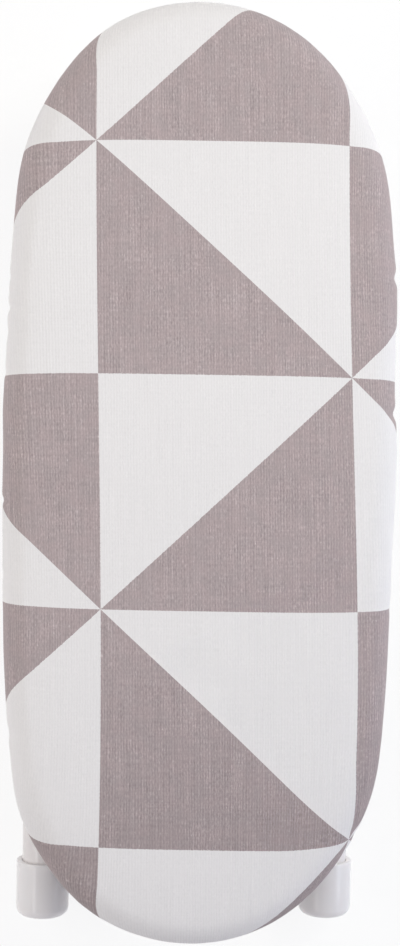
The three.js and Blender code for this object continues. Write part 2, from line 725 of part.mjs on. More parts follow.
const spacerLength = LEG_GAP - 2 * SEAT_GAP;
const spacerBore = PIN_DIAMETER / 2 + SEAT_GAP;
const spacerProfile = [
  new THREE.Vector2(spacerBore, -spacerLength / 2),
  new THREE.Vector2(SPACER_DIAMETER / 2, -spacerLength / 2),
  new THREE.Vector2(SPACER_DIAMETER / 2, spacerLength / 2),
  new THREE.Vector2(spacerBore, spacerLength / 2),
  new THREE.Vector2(spacerBore, -spacerLength / 2),
];

const pinCapProfile = [
  new THREE.Vector2(0, -PIN_CAP_LENGTH),
  new THREE.Vector2(PIN_HEAD / 4, -PIN_CAP_LENGTH),
  new THREE.Vector2(PIN_HEAD / 2, -PIN_CAP_LENGTH / 2),
  new THREE.Vector2(PIN_HEAD / 2, 0),
  new THREE.Vector2(spacerBore, 0),
  new THREE.Vector2(spacerBore, PIN_CAP_FLOOR - PIN_CAP_LENGTH),
  new THREE.Vector2(0, PIN_CAP_FLOOR - PIN_CAP_LENGTH),
];

for (const [side, sign] of sides) {
  const spacerX = innerHalf + tubeRadius + LEG_GAP / 2;
  addPiece(outerLeg, `scissor_pin_${side}`, lathedAlongX(pinProfile, sign, pinOutside), zincSteel);
  addPiece(outerLeg, `scissor_spacer_${side}`, lathedAlongX(spacerProfile, sign, spacerX), nylon);
  addPiece(outerLeg, `scissor_cap_${side}`, lathedAlongX(pinCapProfile, sign, pinInside), capPlastic);
}

export default board;
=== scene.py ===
# Tabletop ironing board, folded flat and lying on its four foot caps: a patchwork-print cotton cover
# over a felt pad and a pierced steel deck, carried by two white tube legs that cross like scissors.
# Sizes are in millimetres until a mesh is made; X runs across, +Y to the far end, +Z up.

import json
import bpy
import numpy as np
from mathutils import Matrix, Vector


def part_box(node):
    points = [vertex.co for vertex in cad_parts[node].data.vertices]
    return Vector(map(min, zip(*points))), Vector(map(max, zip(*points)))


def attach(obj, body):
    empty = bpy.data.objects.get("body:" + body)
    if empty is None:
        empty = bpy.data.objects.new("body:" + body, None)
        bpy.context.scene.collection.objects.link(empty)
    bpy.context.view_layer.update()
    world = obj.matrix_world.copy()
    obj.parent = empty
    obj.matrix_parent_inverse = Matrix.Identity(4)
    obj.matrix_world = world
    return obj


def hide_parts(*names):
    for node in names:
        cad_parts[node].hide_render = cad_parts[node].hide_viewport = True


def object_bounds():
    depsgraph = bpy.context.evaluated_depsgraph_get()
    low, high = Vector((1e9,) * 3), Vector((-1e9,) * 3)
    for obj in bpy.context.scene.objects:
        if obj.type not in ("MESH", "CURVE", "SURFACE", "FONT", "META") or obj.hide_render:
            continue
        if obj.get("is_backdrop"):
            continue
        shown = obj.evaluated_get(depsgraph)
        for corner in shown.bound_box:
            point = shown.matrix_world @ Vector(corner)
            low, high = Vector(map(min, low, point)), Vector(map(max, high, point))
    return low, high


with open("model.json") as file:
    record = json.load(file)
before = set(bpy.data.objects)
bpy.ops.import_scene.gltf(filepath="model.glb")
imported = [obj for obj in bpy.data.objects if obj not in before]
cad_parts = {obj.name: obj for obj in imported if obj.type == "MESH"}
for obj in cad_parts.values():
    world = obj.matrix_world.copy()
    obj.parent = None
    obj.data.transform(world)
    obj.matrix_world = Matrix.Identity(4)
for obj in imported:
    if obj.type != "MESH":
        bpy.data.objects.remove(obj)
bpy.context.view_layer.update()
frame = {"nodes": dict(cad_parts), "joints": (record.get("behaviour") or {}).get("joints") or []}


# LEG TUBES
# Two U-shaped legs bent from 22 mm welded steel tube and coated white. The outer leg's crossbar turns
# in the pivot seats; the inner leg passes inside it and its crossbar slides along the racks.
TUBE_RADIUS = 11.0
TUBE_WALL = 1.2
TUBE_BEND = 26.0
TUBE_LENGTH = 373.82
TUBE_SIDES = 40
LEG_STEPS = 23
BEND_STEPS = 19
OUTER_HALF = 76.0
INNER_HALF = 51.5
STRAP_MIDDLE = 26.0
RACK_MIDDLE = 17.0
PIVOT_RUB = (8.2, 15.0)
SLIDE_RUB = (6.2, 14.0)
RUB_FADE = 2.0
PAINT_WHITE = (236, 232, 231)
PAINT_RUBBED = (176, 174, 172)

# Pivot and crossing as (y, z), and each crossbar as (y, z, way from it to its feet). The inner crossbar
# lies as far from the crossing as the pivot does, on the other side.
joints = {joint["name"]: joint for joint in frame["joints"]}
pivot = 1000 * np.array(joints["outer_leg_fold"]["pos_m"][1:])
crossing = 1000 * np.array(joints["scissor_pivot"]["pos_m"][1:])
fold_angle = np.arctan2(pivot[1] - crossing[1], pivot[0] - crossing[0])
outer_crossbar = (pivot[0], pivot[1], -1)
inner_crossbar = (2 * crossing[0] - pivot[0], pivot[1], 1)


def tint(red, green, blue):
    """A colour given in 0 to 255 screen values, as the linear colour a shader needs."""
    screen = np.array([red, green, blue]) / 255
    linear = np.where(screen < 0.04045, screen / 12.92, ((screen + 0.055) / 1.055) ** 2.4)
    return (*map(float, linear), 1.0)


class Wire:
    """A socket of a shader tree. Arithmetic on wires adds Math nodes to the tree."""

    def __init__(self, tree, socket=None):
        self.tree = tree
        self.socket = socket

    def node(self, kind, settings=None, inputs=None, output=0):
        """Adds a node of this kind, makes its settings first, then fills or links its sockets."""
        made = self.tree.nodes.new("ShaderNode" + kind)
        for key, value in (settings or {}).items():
            setattr(made, key, value)
        for key, value in (inputs or {}).items():
            if isinstance(value, Wire):
                self.tree.links.new(value.socket, made.inputs[key])
            else:
                made.inputs[key].default_value = value
        return Wire(self.tree, made.outputs[output])

    def math(self, operation, *values):
        """A Math node of this operation on wires and numbers."""
        return self.node("Math", {"operation": operation}, dict(enumerate(values)))

    def __add__(self, other):
        return self.math("ADD", self, other)

    def __radd__(self, other):
        return self.math("ADD", other, self)

    def __sub__(self, other):
        return self.math("SUBTRACT", self, other)

    def __rsub__(self, other):
        return self.math("SUBTRACT", other, self)

    def __mul__(self, other):
        return self.math("MULTIPLY", self, other)

    def __rmul__(self, other):
        return self.math("MULTIPLY", other, self)

    def __truediv__(self, other):
        return self.math("DIVIDE", self, other)

    def __abs__(self):
        return self.math("ABSOLUTE", self)

    def ramp(self, start, end):
        """Rises smoothly from 0 at start to 1 at end, or falls if start is the larger."""
        settings = {"interpolation_type": "SMOOTHSTEP"}
        return self.node("MapRange", settings, {0: self, 1: start, 2: end, 3: 0.0, 4: 1.0})

    def blend(self, first, second):
        """Colour that goes from first to second as this wire goes from 0 to 1."""
        return self.node("Mix", {"data_type": "RGBA"}, {0: self, 6: first, 7: second}, 2)

    def shaded(self, colour):
        """A colour multiplied by this wire."""
        grey = self.node("CombineColor", None, {0: self, 1: self, 2: self})
        settings = {"data_type": "RGBA", "blend_type": "MULTIPLY"}
        return self.node("Mix", settings, {0: 1.0, 6: colour, 7: grey}, 2)

    def scaled(self, x, y, z):
        """A vector wire stretched by x, y and z."""
        return self.node("VectorMath", {"operation": "MULTIPLY"}, {0: self, 1: (x, y, z)})

    def noise(self, scale, detail=2.0, roughness=0.5):
        """Soft noise at the place that a vector wire gives."""
        inputs = {"Vector": self, "Scale": scale, "Detail": detail, "Roughness": roughness}
        return self.node("TexNoise", None, inputs)

    def axes(self):
        """The three numbers of a vector wire."""
        made = self.node("SeparateXYZ", None, {0: self})
        sockets = made.socket.node.outputs
        return [Wire(self.tree, sockets[i]) for i in range(3)]


def finish(name, **constants):
    """A new material with one main shader. Constants go straight onto the shader's own sockets. Returns
    the material and the wire of its Object coordinates."""
    material = bpy.data.materials.new(name)
    material.use_nodes = True
    shader = material.node_tree.nodes["Principled BSDF"]
    for key, value in constants.items():
        shader.inputs[key.replace("_", " ")].default_value = value
    return material, Wire(material.node_tree).node("TexCoord", None, None, "Object")


def wear_finish(material, colour, roughness, height, strength, distance):
    """Links what changes over the surface: colour, roughness and a bump from a height."""
    tree = material.node_tree
    inputs = {"Strength": strength, "Distance": distance, "Height": height}
    bump = Wire(tree).node("Bump", None, inputs)
    shader = tree.nodes["Principled BSDF"]
    tree.links.new(colour.socket, shader.inputs["Base Color"])
    tree.links.new(roughness.socket, shader.inputs["Roughness"])
    tree.links.new(bump.socket, shader.inputs["Normal"])


def painted(name, rubs):
    """White powder paint: faint orange peel and mottling. It is rubbed thin and grey in the given bands
    (x on both sides, half width, y, half length), where metal or nylon works against it."""
    material, place = finish(name, IOR=1.5)
    x, y, _ = place.axes()
    peel = place.noise(420.0, 2.0)
    mottle = place.noise(26.0, 3.0)
    worn = 0.0 * x
    fade = RUB_FADE / 1000
    for rub in rubs:
        side, half_width, middle, half_length = (float(value) / 1000 for value in rub)
        low, high = middle - half_length, middle + half_length
        across = abs(abs(x) - side).ramp(half_width, 0.7 * half_width)
        worn = worn + across * (y.ramp(low - fade, low) * y.ramp(high + fade, high))
    worn = worn * place.scaled(40.0, 400.0, 400.0).noise(1.0, 3.0, 0.6).ramp(0.42, 0.62)
    white = (0.965 + 0.06 * mottle).shaded(tint(*PAINT_WHITE))
    colour = worn.blend(white, tint(*PAINT_RUBBED))
    wear_finish(material, colour, 0.11 + 0.07 * mottle + 0.14 * worn, peel, 0.06, 0.0002)
    return material


def made_piece(name, points, polygons, material, body):
    """A smooth mesh of points in millimetres, as a piece that rides on a body."""
    mesh = bpy.data.meshes.new(name)
    mesh.from_pydata((points / 1000).tolist(), [], polygons)
    mesh.shade_smooth()
    mesh.materials.append(material)
    piece = bpy.data.objects.new(name, mesh)
    bpy.context.scene.collection.objects.link(piece)
    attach(piece, body)
    return piece


def volume(points, faces):
    """Six times the volume inside quads, positive if they face outwards."""
    a, b, c, d = (points[faces[:, i]] for i in range(4))
    return float((a * np.cross(b, c)).sum() + (a * np.cross(c, d)).sum())


def skin(name, rows, material, body, node, ends):
    """Joins rows of points into one skin that stands for a node. Each row is a loop of points, joined to
    the next row. ends: "loop" joins the last row to the first, "fan" draws both end rows to their middles,
    "face" fills both with one flat face, and "cup" draws the first to its middle and leaves the last open.
    The skin is turned to face outwards."""
    count, around = rows.shape[:2]
    index = np.arange(count * around).reshape(count, around)
    first = index if ends == "loop" else index[:-1]
    second = np.roll(index, -1, 0) if ends == "loop" else index[1:]
    faces = np.stack([first, np.roll(first, -1, 1), np.roll(second, -1, 1), second], -1).reshape(-1, 4)
    points = rows.reshape(-1, 3)
    turn = slice(None, None, -1 if volume(points - points.mean(0), faces) < 0 else 1)
    polygons = faces[:, turn].tolist()
    if ends == "face":
        polygons += [index[0][::-1][turn].tolist(), index[-1][turn].tolist()]
    tip = np.full(around, count * around)
    if ends in ("fan", "cup"):
        points = np.vstack([points, rows[0].mean(0)])
        polygons += np.stack([index[0], tip, np.roll(index[0], -1)], -1)[:, turn].tolist()
    if ends == "fan":
        points = np.vstack([points, rows[-1].mean(0)])
        polygons += np.stack([np.roll(index[-1], -1), tip + 1, index[-1]], -1)[:, turn].tolist()
    piece = made_piece(name, points, polygons, material, body)
    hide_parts(node)
    return piece


def in_leg(crossbar, across, along, up):
    """Points in a folded leg: across in X, along from its crossbar towards its feet, up square to it.
    The leg falls from the crossbar to the feet by the fold angle."""
    y, z, way = crossbar
    run = along * np.cos(fold_angle) + up * np.sin(fold_angle)
    fall = up * np.cos(fold_angle) - along * np.sin(fold_angle)
    return np.stack(np.broadcast_arrays(across, y + way * run, z + fall), -1)


def leg_tube(name, half, crossbar, material, body):
    """A round section carried along a U: from one foot up its leg, a quarter turn, across, a quarter turn
    and down to the other foot. The outer wall runs along the U and the inner wall runs back."""
    corner = np.linspace(np.pi, np.pi / 2, BEND_STEPS)
    leg = np.linspace(TUBE_LENGTH, TUBE_BEND, LEG_STEPS + 1)[:-1]
    left = np.stack([
        np.r_[np.full(LEG_STEPS, -half), -half + TUBE_BEND + TUBE_BEND * np.cos(corner)],
        np.r_[leg, TUBE_BEND - TUBE_BEND * np.sin(corner)],
        np.r_[np.full(LEG_STEPS, np.pi), corner],
    ], -1)
    right = left[::-1] * [-1, 1, -1] + [0, 0, np.pi]
    path = np.vstack([left, right])
    angle = np.linspace(0, 2 * np.pi, TUBE_SIDES, endpoint=False)
    walls = []
    for radius in (TUBE_RADIUS, TUBE_RADIUS - TUBE_WALL):
        out = radius * np.cos(angle)
        across = path[:, :1] + np.cos(path[:, 2:]) * out
        along = path[:, 1:2] - np.sin(path[:, 2:]) * out
        walls.append(in_leg(crossbar, across, along, radius * np.sin(angle)))
    rows = np.concatenate([walls[0], walls[1][::-1]])
    skin(name, rows, material, body, body, "loop")


leg_paint = painted("leg_paint", [
    (STRAP_MIDDLE, PIVOT_RUB[0], outer_crossbar[0], PIVOT_RUB[1]),
    (RACK_MIDDLE, SLIDE_RUB[0], inner_crossbar[0], SLIDE_RUB[1]),
])
leg_tube("outer_leg_tube", OUTER_HALF, outer_crossbar, leg_paint, "outer_leg")
leg_tube("inner_leg_tube", INNER_HALF, inner_crossbar, leg_paint, "inner_leg")


# FOOT CAPS
# Four cups moulded in white plastic and pushed over the ends of the tubes. They are plain and
# straight-sided, with a crisp rim and a rounded end; their floor side is a little scuffed.
LEG_REACH = 379.123
CAP_RADIUS = 14.0
CAP_BORE = 11.15
CAP_LENGTH = 30.0
CAP_FLOOR = 5.0
CAP_ROUNDING = 5.0
CAP_RIM = 0.5
CAP_MIDDLE = 0.4
CAP_DISH = ((CAP_MIDDLE, 0.9), (5.0, 0.75), (7.2, 0.25))
CAP_RINGS = (12.0, 20.0, 28.0)
CAP_SIDES = 64
CAP_WHITE = (247, 243, 242)
CAP_SCUFF = (168, 164, 162)
SCUFF_HEIGHTS = (2.2, 0.2)
SIDES = (("left", -1), ("right", 1))


def arc(middle, radii, start, end, steps):
    """Points on an ellipse about middle, or on a circle if radii is one number, between two angles in
    degrees: middle plus radii times cosine and sine."""
    angle = np.radians(np.linspace(start, end, steps))
    return np.array(middle) + np.array(radii) * np.stack([np.cos(angle), np.sin(angle)], -1)


def turned(profile, sides):
    """A profile of radius and place along an axis, turned about that axis: the two offsets square to the
    axis, radius times cosine and sine of the angle, and the place, for all points of all rings."""
    angle = np.linspace(0, 2 * np.pi, sides, endpoint=False)
    radius, along = profile[:, :1], profile[:, 1:]
    return np.broadcast_arrays(radius * np.cos(angle), radius * np.sin(angle), along)


def foot_cap(name, across, crossbar, body, node):
    """A profile of radius and height, turned about the leg's line: a shallow dished end, a rounding, the
    straight side, the rim, and the bore back to its floor."""
    rim_height = CAP_LENGTH - CAP_RIM
    profile = np.vstack([
        CAP_DISH,
        arc((CAP_RADIUS - CAP_ROUNDING, CAP_ROUNDING), CAP_ROUNDING, -90, 0, 10),
        [(CAP_RADIUS, height) for height in CAP_RINGS],
        arc((CAP_RADIUS - CAP_RIM, rim_height), CAP_RIM, 0, 90, 5),
        arc((CAP_BORE + CAP_RIM, rim_height), CAP_RIM, 90, 180, 5),
        [(CAP_BORE, CAP_FLOOR), (CAP_MIDDLE, CAP_FLOOR)],
    ])
    side, up, height = turned(profile, CAP_SIDES)
    rows = in_leg(crossbar, across + side, LEG_REACH - height, up)
    skin(name, rows, cap_plastic, body, node, "fan")


cap_plastic, place = finish(
    "cap_plastic", IOR=1.49,
    Subsurface_Weight=0.35, Subsurface_Radius=(1.0, 0.92, 0.88), Subsurface_Scale=0.008,
)
cloud = place.noise(60.0, 2.0)
grain = place.noise(1500.0, 1.0)
rub = place.scaled(300.0, 60.0, 300.0).noise(1.0, 4.0, 0.6)
touching = place.axes()[2].ramp(SCUFF_HEIGHTS[0] / 1000, SCUFF_HEIGHTS[1] / 1000)
scuff = touching * rub.ramp(0.4, 0.62)
white = (0.975 + 0.04 * cloud).shaded(tint(*CAP_WHITE))
scuffed = (0.45 * scuff).blend(white, tint(*CAP_SCUFF))
wear_finish(cap_plastic, scuffed, 0.16 + 0.05 * cloud + 0.35 * scuff, grain, 0.03, 0.0001)
for side, sign in SIDES:
    near, far = f"foot_cap_near_{side}", f"foot_cap_far_{side}"
    foot_cap(f"near_cap_{side}", sign * OUTER_HALF, outer_crossbar, "outer_leg", near)
    foot_cap(f"far_cap_{side}", sign * INNER_HALF, inner_crossbar, "inner_leg", far)


# CROSSING PINS
# Where the legs cross, a domed steel pin goes through both tubes, with a nylon washer between them and
# a plastic cap pushed on inside. The legs turn on these two pins.
PIN_RADIUS = 3.0
PIN_BORE = 3.1
PIN_MIDDLE = 0.2
PIN_ENDS = (36.0, 87.0)
PIN_CHAMFER = 0.5
PIN_HEAD = (7.0, 3.0)
PIN_SIDES = 48
HEAD_EDGE = (0.4, 0.3)
WASHER_RADIUS = 7.9
WASHER_ENDS = (62.8, 64.7)
WASHER_ROUNDING = 0.3
PUSH_CAP_FACE = 3.2
PUSH_CAP_SHOULDER = 3.2
PUSH_CAP_RADIUS = 7.0
PUSH_CAP_ENDS = (34.2, 40.2)
PUSH_CAP_ROUNDING = 3.0
PUSH_CAP_CHAMFER = 0.4
PUSH_CAP_FLOOR = 35.8
SHARP_ANGLE = 40
ZINC = (186, 188, 190)
NYLON = (222, 218, 208)


def even_shading(piece):
    """Large faces shade flat and only the narrow roundings between them shade round."""
    piece.data.set_sharp_from_angle(angle=np.radians(SHARP_ANGLE))
    piece.modifiers.new("even_shading", "WEIGHTED_NORMAL").keep_sharp = True


def on_crossing(name, profile, sign, material, node, ends):
    """A profile of radius and X, turned about the crossing's axis, on the side that sign gives."""
    y, z, x = turned(profile, PIN_SIDES)
    rows = np.stack([sign * x, crossing[0] + y, crossing[1] + z], -1)
    even_shading(skin(name, rows, material, "outer_leg", node, ends))


zinc_steel, place = finish("zinc_steel", Metallic=1.0)
spangle = place.node("TexVoronoi", None, {"Vector": place, "Scale": 320.0}, "Color").axes()[0]
brushed = place.scaled(900.0, 60.0, 900.0).noise(1.0, 3.0, 0.6)
dulled = place.noise(90.0, 4.0)
metal = (0.88 + 0.12 * spangle + 0.08 * brushed).shaded(tint(*ZINC))
wear_finish(zinc_steel, metal, 0.24 + 0.2 * dulled + 0.08 * spangle, brushed, 0.1, 0.0001)

nylon, place = finish(
    "nylon", IOR=1.53,
    Subsurface_Weight=0.2, Subsurface_Radius=(1.0, 0.9, 0.75), Subsurface_Scale=0.003,
)
cloud = place.noise(80.0, 3.0)
grain = place.noise(1800.0, 2.0)
milky = (0.95 + 0.09 * cloud).shaded(tint(*NYLON))
wear_finish(nylon, milky, 0.4 + 0.14 * cloud, grain, 0.15, 0.0001)

inner, outer = PIN_ENDS
pin_profile = np.vstack([
    [(PIN_MIDDLE, inner), (PIN_RADIUS - PIN_CHAMFER, inner), (PIN_RADIUS, inner + PIN_CHAMFER)],
    [(PIN_RADIUS, outer), (PIN_HEAD[0] - HEAD_EDGE[0], outer)],
    arc((0.0, outer + HEAD_EDGE[1]), PIN_HEAD, 0, 88, 12),
])
inner, outer = WASHER_ENDS
washer_edge = WASHER_RADIUS - WASHER_ROUNDING
washer_profile = np.vstack([
    arc((washer_edge, inner + WASHER_ROUNDING), WASHER_ROUNDING, -90, 0, 4),
    arc((washer_edge, outer - WASHER_ROUNDING), WASHER_ROUNDING, 0, 90, 4),
    [(PIN_BORE, outer), (PIN_BORE, inner)],
])
inner, outer = PUSH_CAP_ENDS
push_cap_edge = PUSH_CAP_RADIUS - PUSH_CAP_ROUNDING
push_cap_profile = np.vstack([
    [(PIN_MIDDLE, inner), (PUSH_CAP_FACE, inner)],
    arc((push_cap_edge, inner + PUSH_CAP_SHOULDER), PUSH_CAP_ROUNDING, -80, 0, 8),
    [(PUSH_CAP_RADIUS, outer - PUSH_CAP_CHAMFER), (PUSH_CAP_RADIUS - PUSH_CAP_CHAMFER, outer)],
    [(PIN_BORE, outer), (PIN_BORE, PUSH_CAP_FLOOR), (PIN_MIDDLE, PUSH_CAP_FLOOR)],
])
crossing_pieces = (
    ("pin", pin_profile, zinc_steel, "scissor_pin", "fan", "zinc_steel"),
    ("washer", washer_profile, nylon, "scissor_spacer", "loop", "nylon"),
    ("push_cap", push_cap_profile, cap_plastic, "scissor_cap", "fan", "cap_plastic"),
)
for side, sign in SIDES:
    for piece, profile, material, node, ends, slot in crossing_pieces:
        on_crossing(f"{piece}_{side}", profile, sign, material, f"{node}_{side}", ends)


# CROSS RAILS
# Five channels pressed from 1.5 mm steel, open upwards, painted white and welded between the two sides
# of the rim. They carry the deck and hold the leg fittings.
RAILS = ("slide_rail_near", "slide_rail_far", "middle_rail", "pivot_rail_near", "pivot_rail_far")
RAIL_WALL = 1.5
RAIL_BEND = 2.2
RAIL_HEIGHT = 10.0
RAIL_INSET = 11.5
SHEET_EDGE = 0.3
BOARD_HALF = (100.0, 241.0)
END_FULLNESS = 4.1


def unit(vectors):
    """Vectors brought to length 1."""
    return vectors / np.linalg.norm(vectors, axis=1, keepdims=True)


def rounded(corners, steps=8):
    """A line through corners (y, z, radius), each inner corner replaced by a tangent arc of its radius."""
    corner = np.array(corners, float)
    place, radius = corner[:, :2], corner[1:-1, 2:]
    back, ahead = unit(place[:-2] - place[1:-1]), unit(place[2:] - place[1:-1])
    half = np.arccos(np.clip((back * ahead).sum(1, keepdims=True), -1, 1)) / 2
    mid = place[1:-1] + unit(back + ahead) * radius / np.sin(half)
    start = place[1:-1] + back * radius / np.tan(half) - mid
    way = np.sign(ahead[:, :1] * back[:, 1:] - ahead[:, 1:] * back[:, :1])
    angle = (way * (np.pi - 2 * half)) * np.linspace(0, 1, steps)
    cos, sin = np.cos(angle), np.sin(angle)
    y = start[:, :1] * cos - start[:, 1:] * sin
    z = start[:, :1] * sin + start[:, 1:] * cos
    arcs = mid[:, None] + np.stack([y, z], -1)
    return np.vstack([place[:1], arcs.reshape(-1, 2), place[-1:]])


def strip(line, thickness):
    """The closed contour of a sheet whose middle line is given: one face forth and the other back."""
    step = unit(np.diff(line, axis=0))
    arrive, leave = np.vstack([step[:1], step]), np.vstack([step, step[-1:]])
    normal = unit(np.stack([-arrive[:, 1] - leave[:, 1], arrive[:, 0] + leave[:, 0]], -1))
    reach = thickness / 2 / (normal[:, :1] * -leave[:, 1:] + normal[:, 1:] * leave[:, :1])
    return np.vstack([line + normal * reach, (line - normal * reach)[::-1]])


def drawn(name, contour, low, high, edge, material, node):
    """A contour in Y and Z drawn along X from low to high, where low and high may differ round the
    contour. Near each end the contour shrinks over a quarter circle, which rounds the end's edges."""
    following = np.roll(contour, -1, 0)
    before, after = unit(contour - np.roll(contour, 1, 0)), unit(following - contour)
    normal = unit(np.stack([before[:, 1] + after[:, 1], -before[:, 0] - after[:, 0]], -1))
    normal *= np.sign((contour[:, 0] * following[:, 1] - following[:, 0] * contour[:, 1]).sum())
    angle = np.radians([90.0, 60.0, 30.0, 0.0])
    shrink = edge * (1 - np.cos(angle))
    back = edge * (1 - np.sin(angle))
    inward = contour - normal * np.r_[shrink, shrink[::-1]][:, None, None]
    low, high = (np.broadcast_to(value, len(contour)) for value in (low, high))
    along = np.vstack([low + back[:, None], high - back[::-1, None]])
    rows = np.concatenate([along[..., None], inward], -1)
    even_shading(skin(name, rows, material, "board", node, "face"))


def outline_x(y, inset):
    """Half width of the board at y, drawn in by inset: x = a sqrt(1 - |y / b|^fullness)."""
    a, b = BOARD_HALF[0] - inset, BOARD_HALF[1] - inset
    return a * np.sqrt(1 - np.abs(y / b) ** END_FULLNESS)


white_paint = painted("white_paint", [])
rail_places = []
for node in RAILS:
    low, high = (1000 * np.array(corner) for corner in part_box(node))
    near, far = low[1] + RAIL_WALL / 2, high[1] - RAIL_WALL / 2
    base, top = low[2] + RAIL_WALL / 2, low[2] + RAIL_HEIGHT
    channel = rounded([(near, top, 0), (near, base, RAIL_BEND), (far, base, RAIL_BEND), (far, top, 0)])
    contour = strip(channel, RAIL_WALL)
    reach = outline_x(contour[:, 0], RAIL_INSET)
    drawn(f"{node}_channel", contour, -reach, reach, SHEET_EDGE, white_paint, node)
    rail_places.append((near + far) / 2)


# RIM AND DECK
# The rim is a hoop rolled from steel strip; the deck is a steel sheet pierced with a lattice of diamonds
# and welded on top of the rim and the rails. Both are painted white.
for node in ("rim", "deck"):
    frame["nodes"][node].data.materials.clear()
    frame["nodes"][node].data.materials.append(white_paint)


# PIVOT SEATS AND STRAPS
# A nylon seat over each side of the outer crossbar and a bent zinc-plated strap under it, held to the
# two far rails by a pair of rivets. The crossbar turns between them.
STRAP_HALF = 8.0
STRAP_WALL = 1.5
STRAP_LINE = 12.05
STRAP_CORNER = 2.5
STRAP_ROUND = 12.04
STRAP_END = 30.05
STRAP_RIVET = 22.3
STRAP_FOOT_Z = 56.4
SEAT_TOP_Z = 60.45
SEAT_TAB_Z = 57.45
SEAT_LOW_Z = 47.752
SEAT_BORE = 11.3
SEAT_HALF = 11.0
SEAT_ROUNDING = 0.8
SEAT_FILLET = 1.5
SEAT_LIP = 0.3
NYLON_EDGE = 0.5
RIVET_RADIUS = 4.5
RIVET_DOME = 2.0
RIVET_SHANK = 2.3
RIVET_SIDES = 32
RAIL_FLOOR_Z = 62.25
ENDS = (("near", -1), ("far", 1))


def rivet(name, x, y, under, node):
    """A turned profile: a domed head below, the shank, and the set head above the rail's floor."""
    profile = np.vstack([
        arc((0.0, under), (RIVET_RADIUS, -RIVET_DOME), 88, 0, 8),
        [(RIVET_SHANK, under), (RIVET_SHANK, RAIL_FLOOR_Z)],
        arc((0.0, RAIL_FLOOR_Z), (RIVET_RADIUS, RIVET_DOME), 0, 88, 8),
    ])
    side, back, height = turned(profile, RIVET_SIDES)
    rows = np.stack([x + side, y + back, height], -1)
    even_shading(skin(name, rows, zinc_steel, "board", node, "fan"))


def mirrored(line, middle):
    """The same line or corners on the other side of a middle y, run backwards."""
    other = np.array(line)[::-1]
    other[:, 0] = 2 * middle - other[:, 0]
    return other


lip_angle = np.degrees(np.arcsin((SEAT_LOW_Z - pivot[1]) / SEAT_BORE))
seat_bore = arc(pivot, SEAT_BORE, 180 - lip_angle, lip_angle, 33)
seat_near = rounded([
    (pivot[0], SEAT_TOP_Z, 0),
    (pivot[0] - STRAP_END, SEAT_TOP_Z, SEAT_ROUNDING),
    (pivot[0] - STRAP_END, SEAT_TAB_Z, SEAT_ROUNDING),
    (pivot[0] - SEAT_HALF, SEAT_TAB_Z, SEAT_FILLET),
    (pivot[0] - SEAT_HALF, SEAT_LOW_Z, SEAT_LIP),
    (seat_bore[0, 0], SEAT_LOW_Z, 0),
], 5)[1:-1]
seat_contour = np.vstack([seat_near, seat_bore, mirrored(seat_near, pivot[0])])
strap_near = [
    (pivot[0] - STRAP_END, STRAP_FOOT_Z, 0),
    (pivot[0] - STRAP_LINE, STRAP_FOOT_Z, STRAP_CORNER),
    (pivot[0] - STRAP_LINE, pivot[1] - STRAP_LINE, STRAP_ROUND),
]
strap_contour = strip(rounded([*strap_near, *mirrored(strap_near, pivot[0])], 12), STRAP_WALL)
for side, sign in SIDES:
    middle = sign * STRAP_MIDDLE
    low, high = middle - STRAP_HALF, middle + STRAP_HALF
    seat, strap = f"pivot_seat_{side}", f"pivot_strap_{side}"
    drawn(f"seat_{side}", seat_contour, low, high, NYLON_EDGE, nylon, seat)
    drawn(f"strap_{side}", strap_contour, low, high, SHEET_EDGE, zinc_steel, strap)
    under = STRAP_FOOT_Z - STRAP_WALL / 2
    for end, way in ENDS:
        y = pivot[0] + way * STRAP_RIVET
        rivet(f"strap_rivet_{side}_{end}", middle, y, under, f"pivot_rivet_{side}_{end}")


# RACKS AND KEEPERS
# Two nylon combs with three round notches, for the folded, low and high place of the inner crossbar, and
# a bent zinc-plated strap under each that keeps the crossbar on its comb. Riveted to the near rails.
RACK_HALF = 6.0
RACK_TOP_Z = 60.45
RACK_BACK_Z = 58.45
RACK_LAND_Z = 54.452
RACK_GAP = 0.3
RACK_ROUNDING = 0.6
RACK_FILLET = 1.0
LANE_CLEARANCE = 1.5
GUIDE_FOOT = 18.75
GUIDE_RIVET = 11.25
NOTCH_COUNT = 3
NOTCH_RADIUS = 11.7
NOTCH_MIDDLE_Z = 46.772
NOTCH_TIP_Z = 54.472
KEEPER_WALL = 1.5
KEEPER_FOOT_Z = 57.4
KEEPER_LOW_Z = 30.302
KEEPER_BEND = 3.0

# The inner crossbar slides from its folded place to where the legs stand fully open. Both crossbars are
# equally far from the crossing, so it lies twice that distance times the cosine of the open angle from
# the pivot.
open_angle = fold_angle + np.radians(joints["outer_leg_fold"]["range_deg"][1])
crossing_reach = np.hypot(*(pivot - crossing))
open_place = pivot[0] - 2 * crossing_reach * np.cos(open_angle)
notch_places = np.linspace(inner_crossbar[0], open_place, NOTCH_COUNT)
slide_middle = (inner_crossbar[0] + open_place) / 2
lane_near = inner_crossbar[0] - TUBE_RADIUS - LANE_CLEARANCE
guide_near = lane_near - GUIDE_FOOT

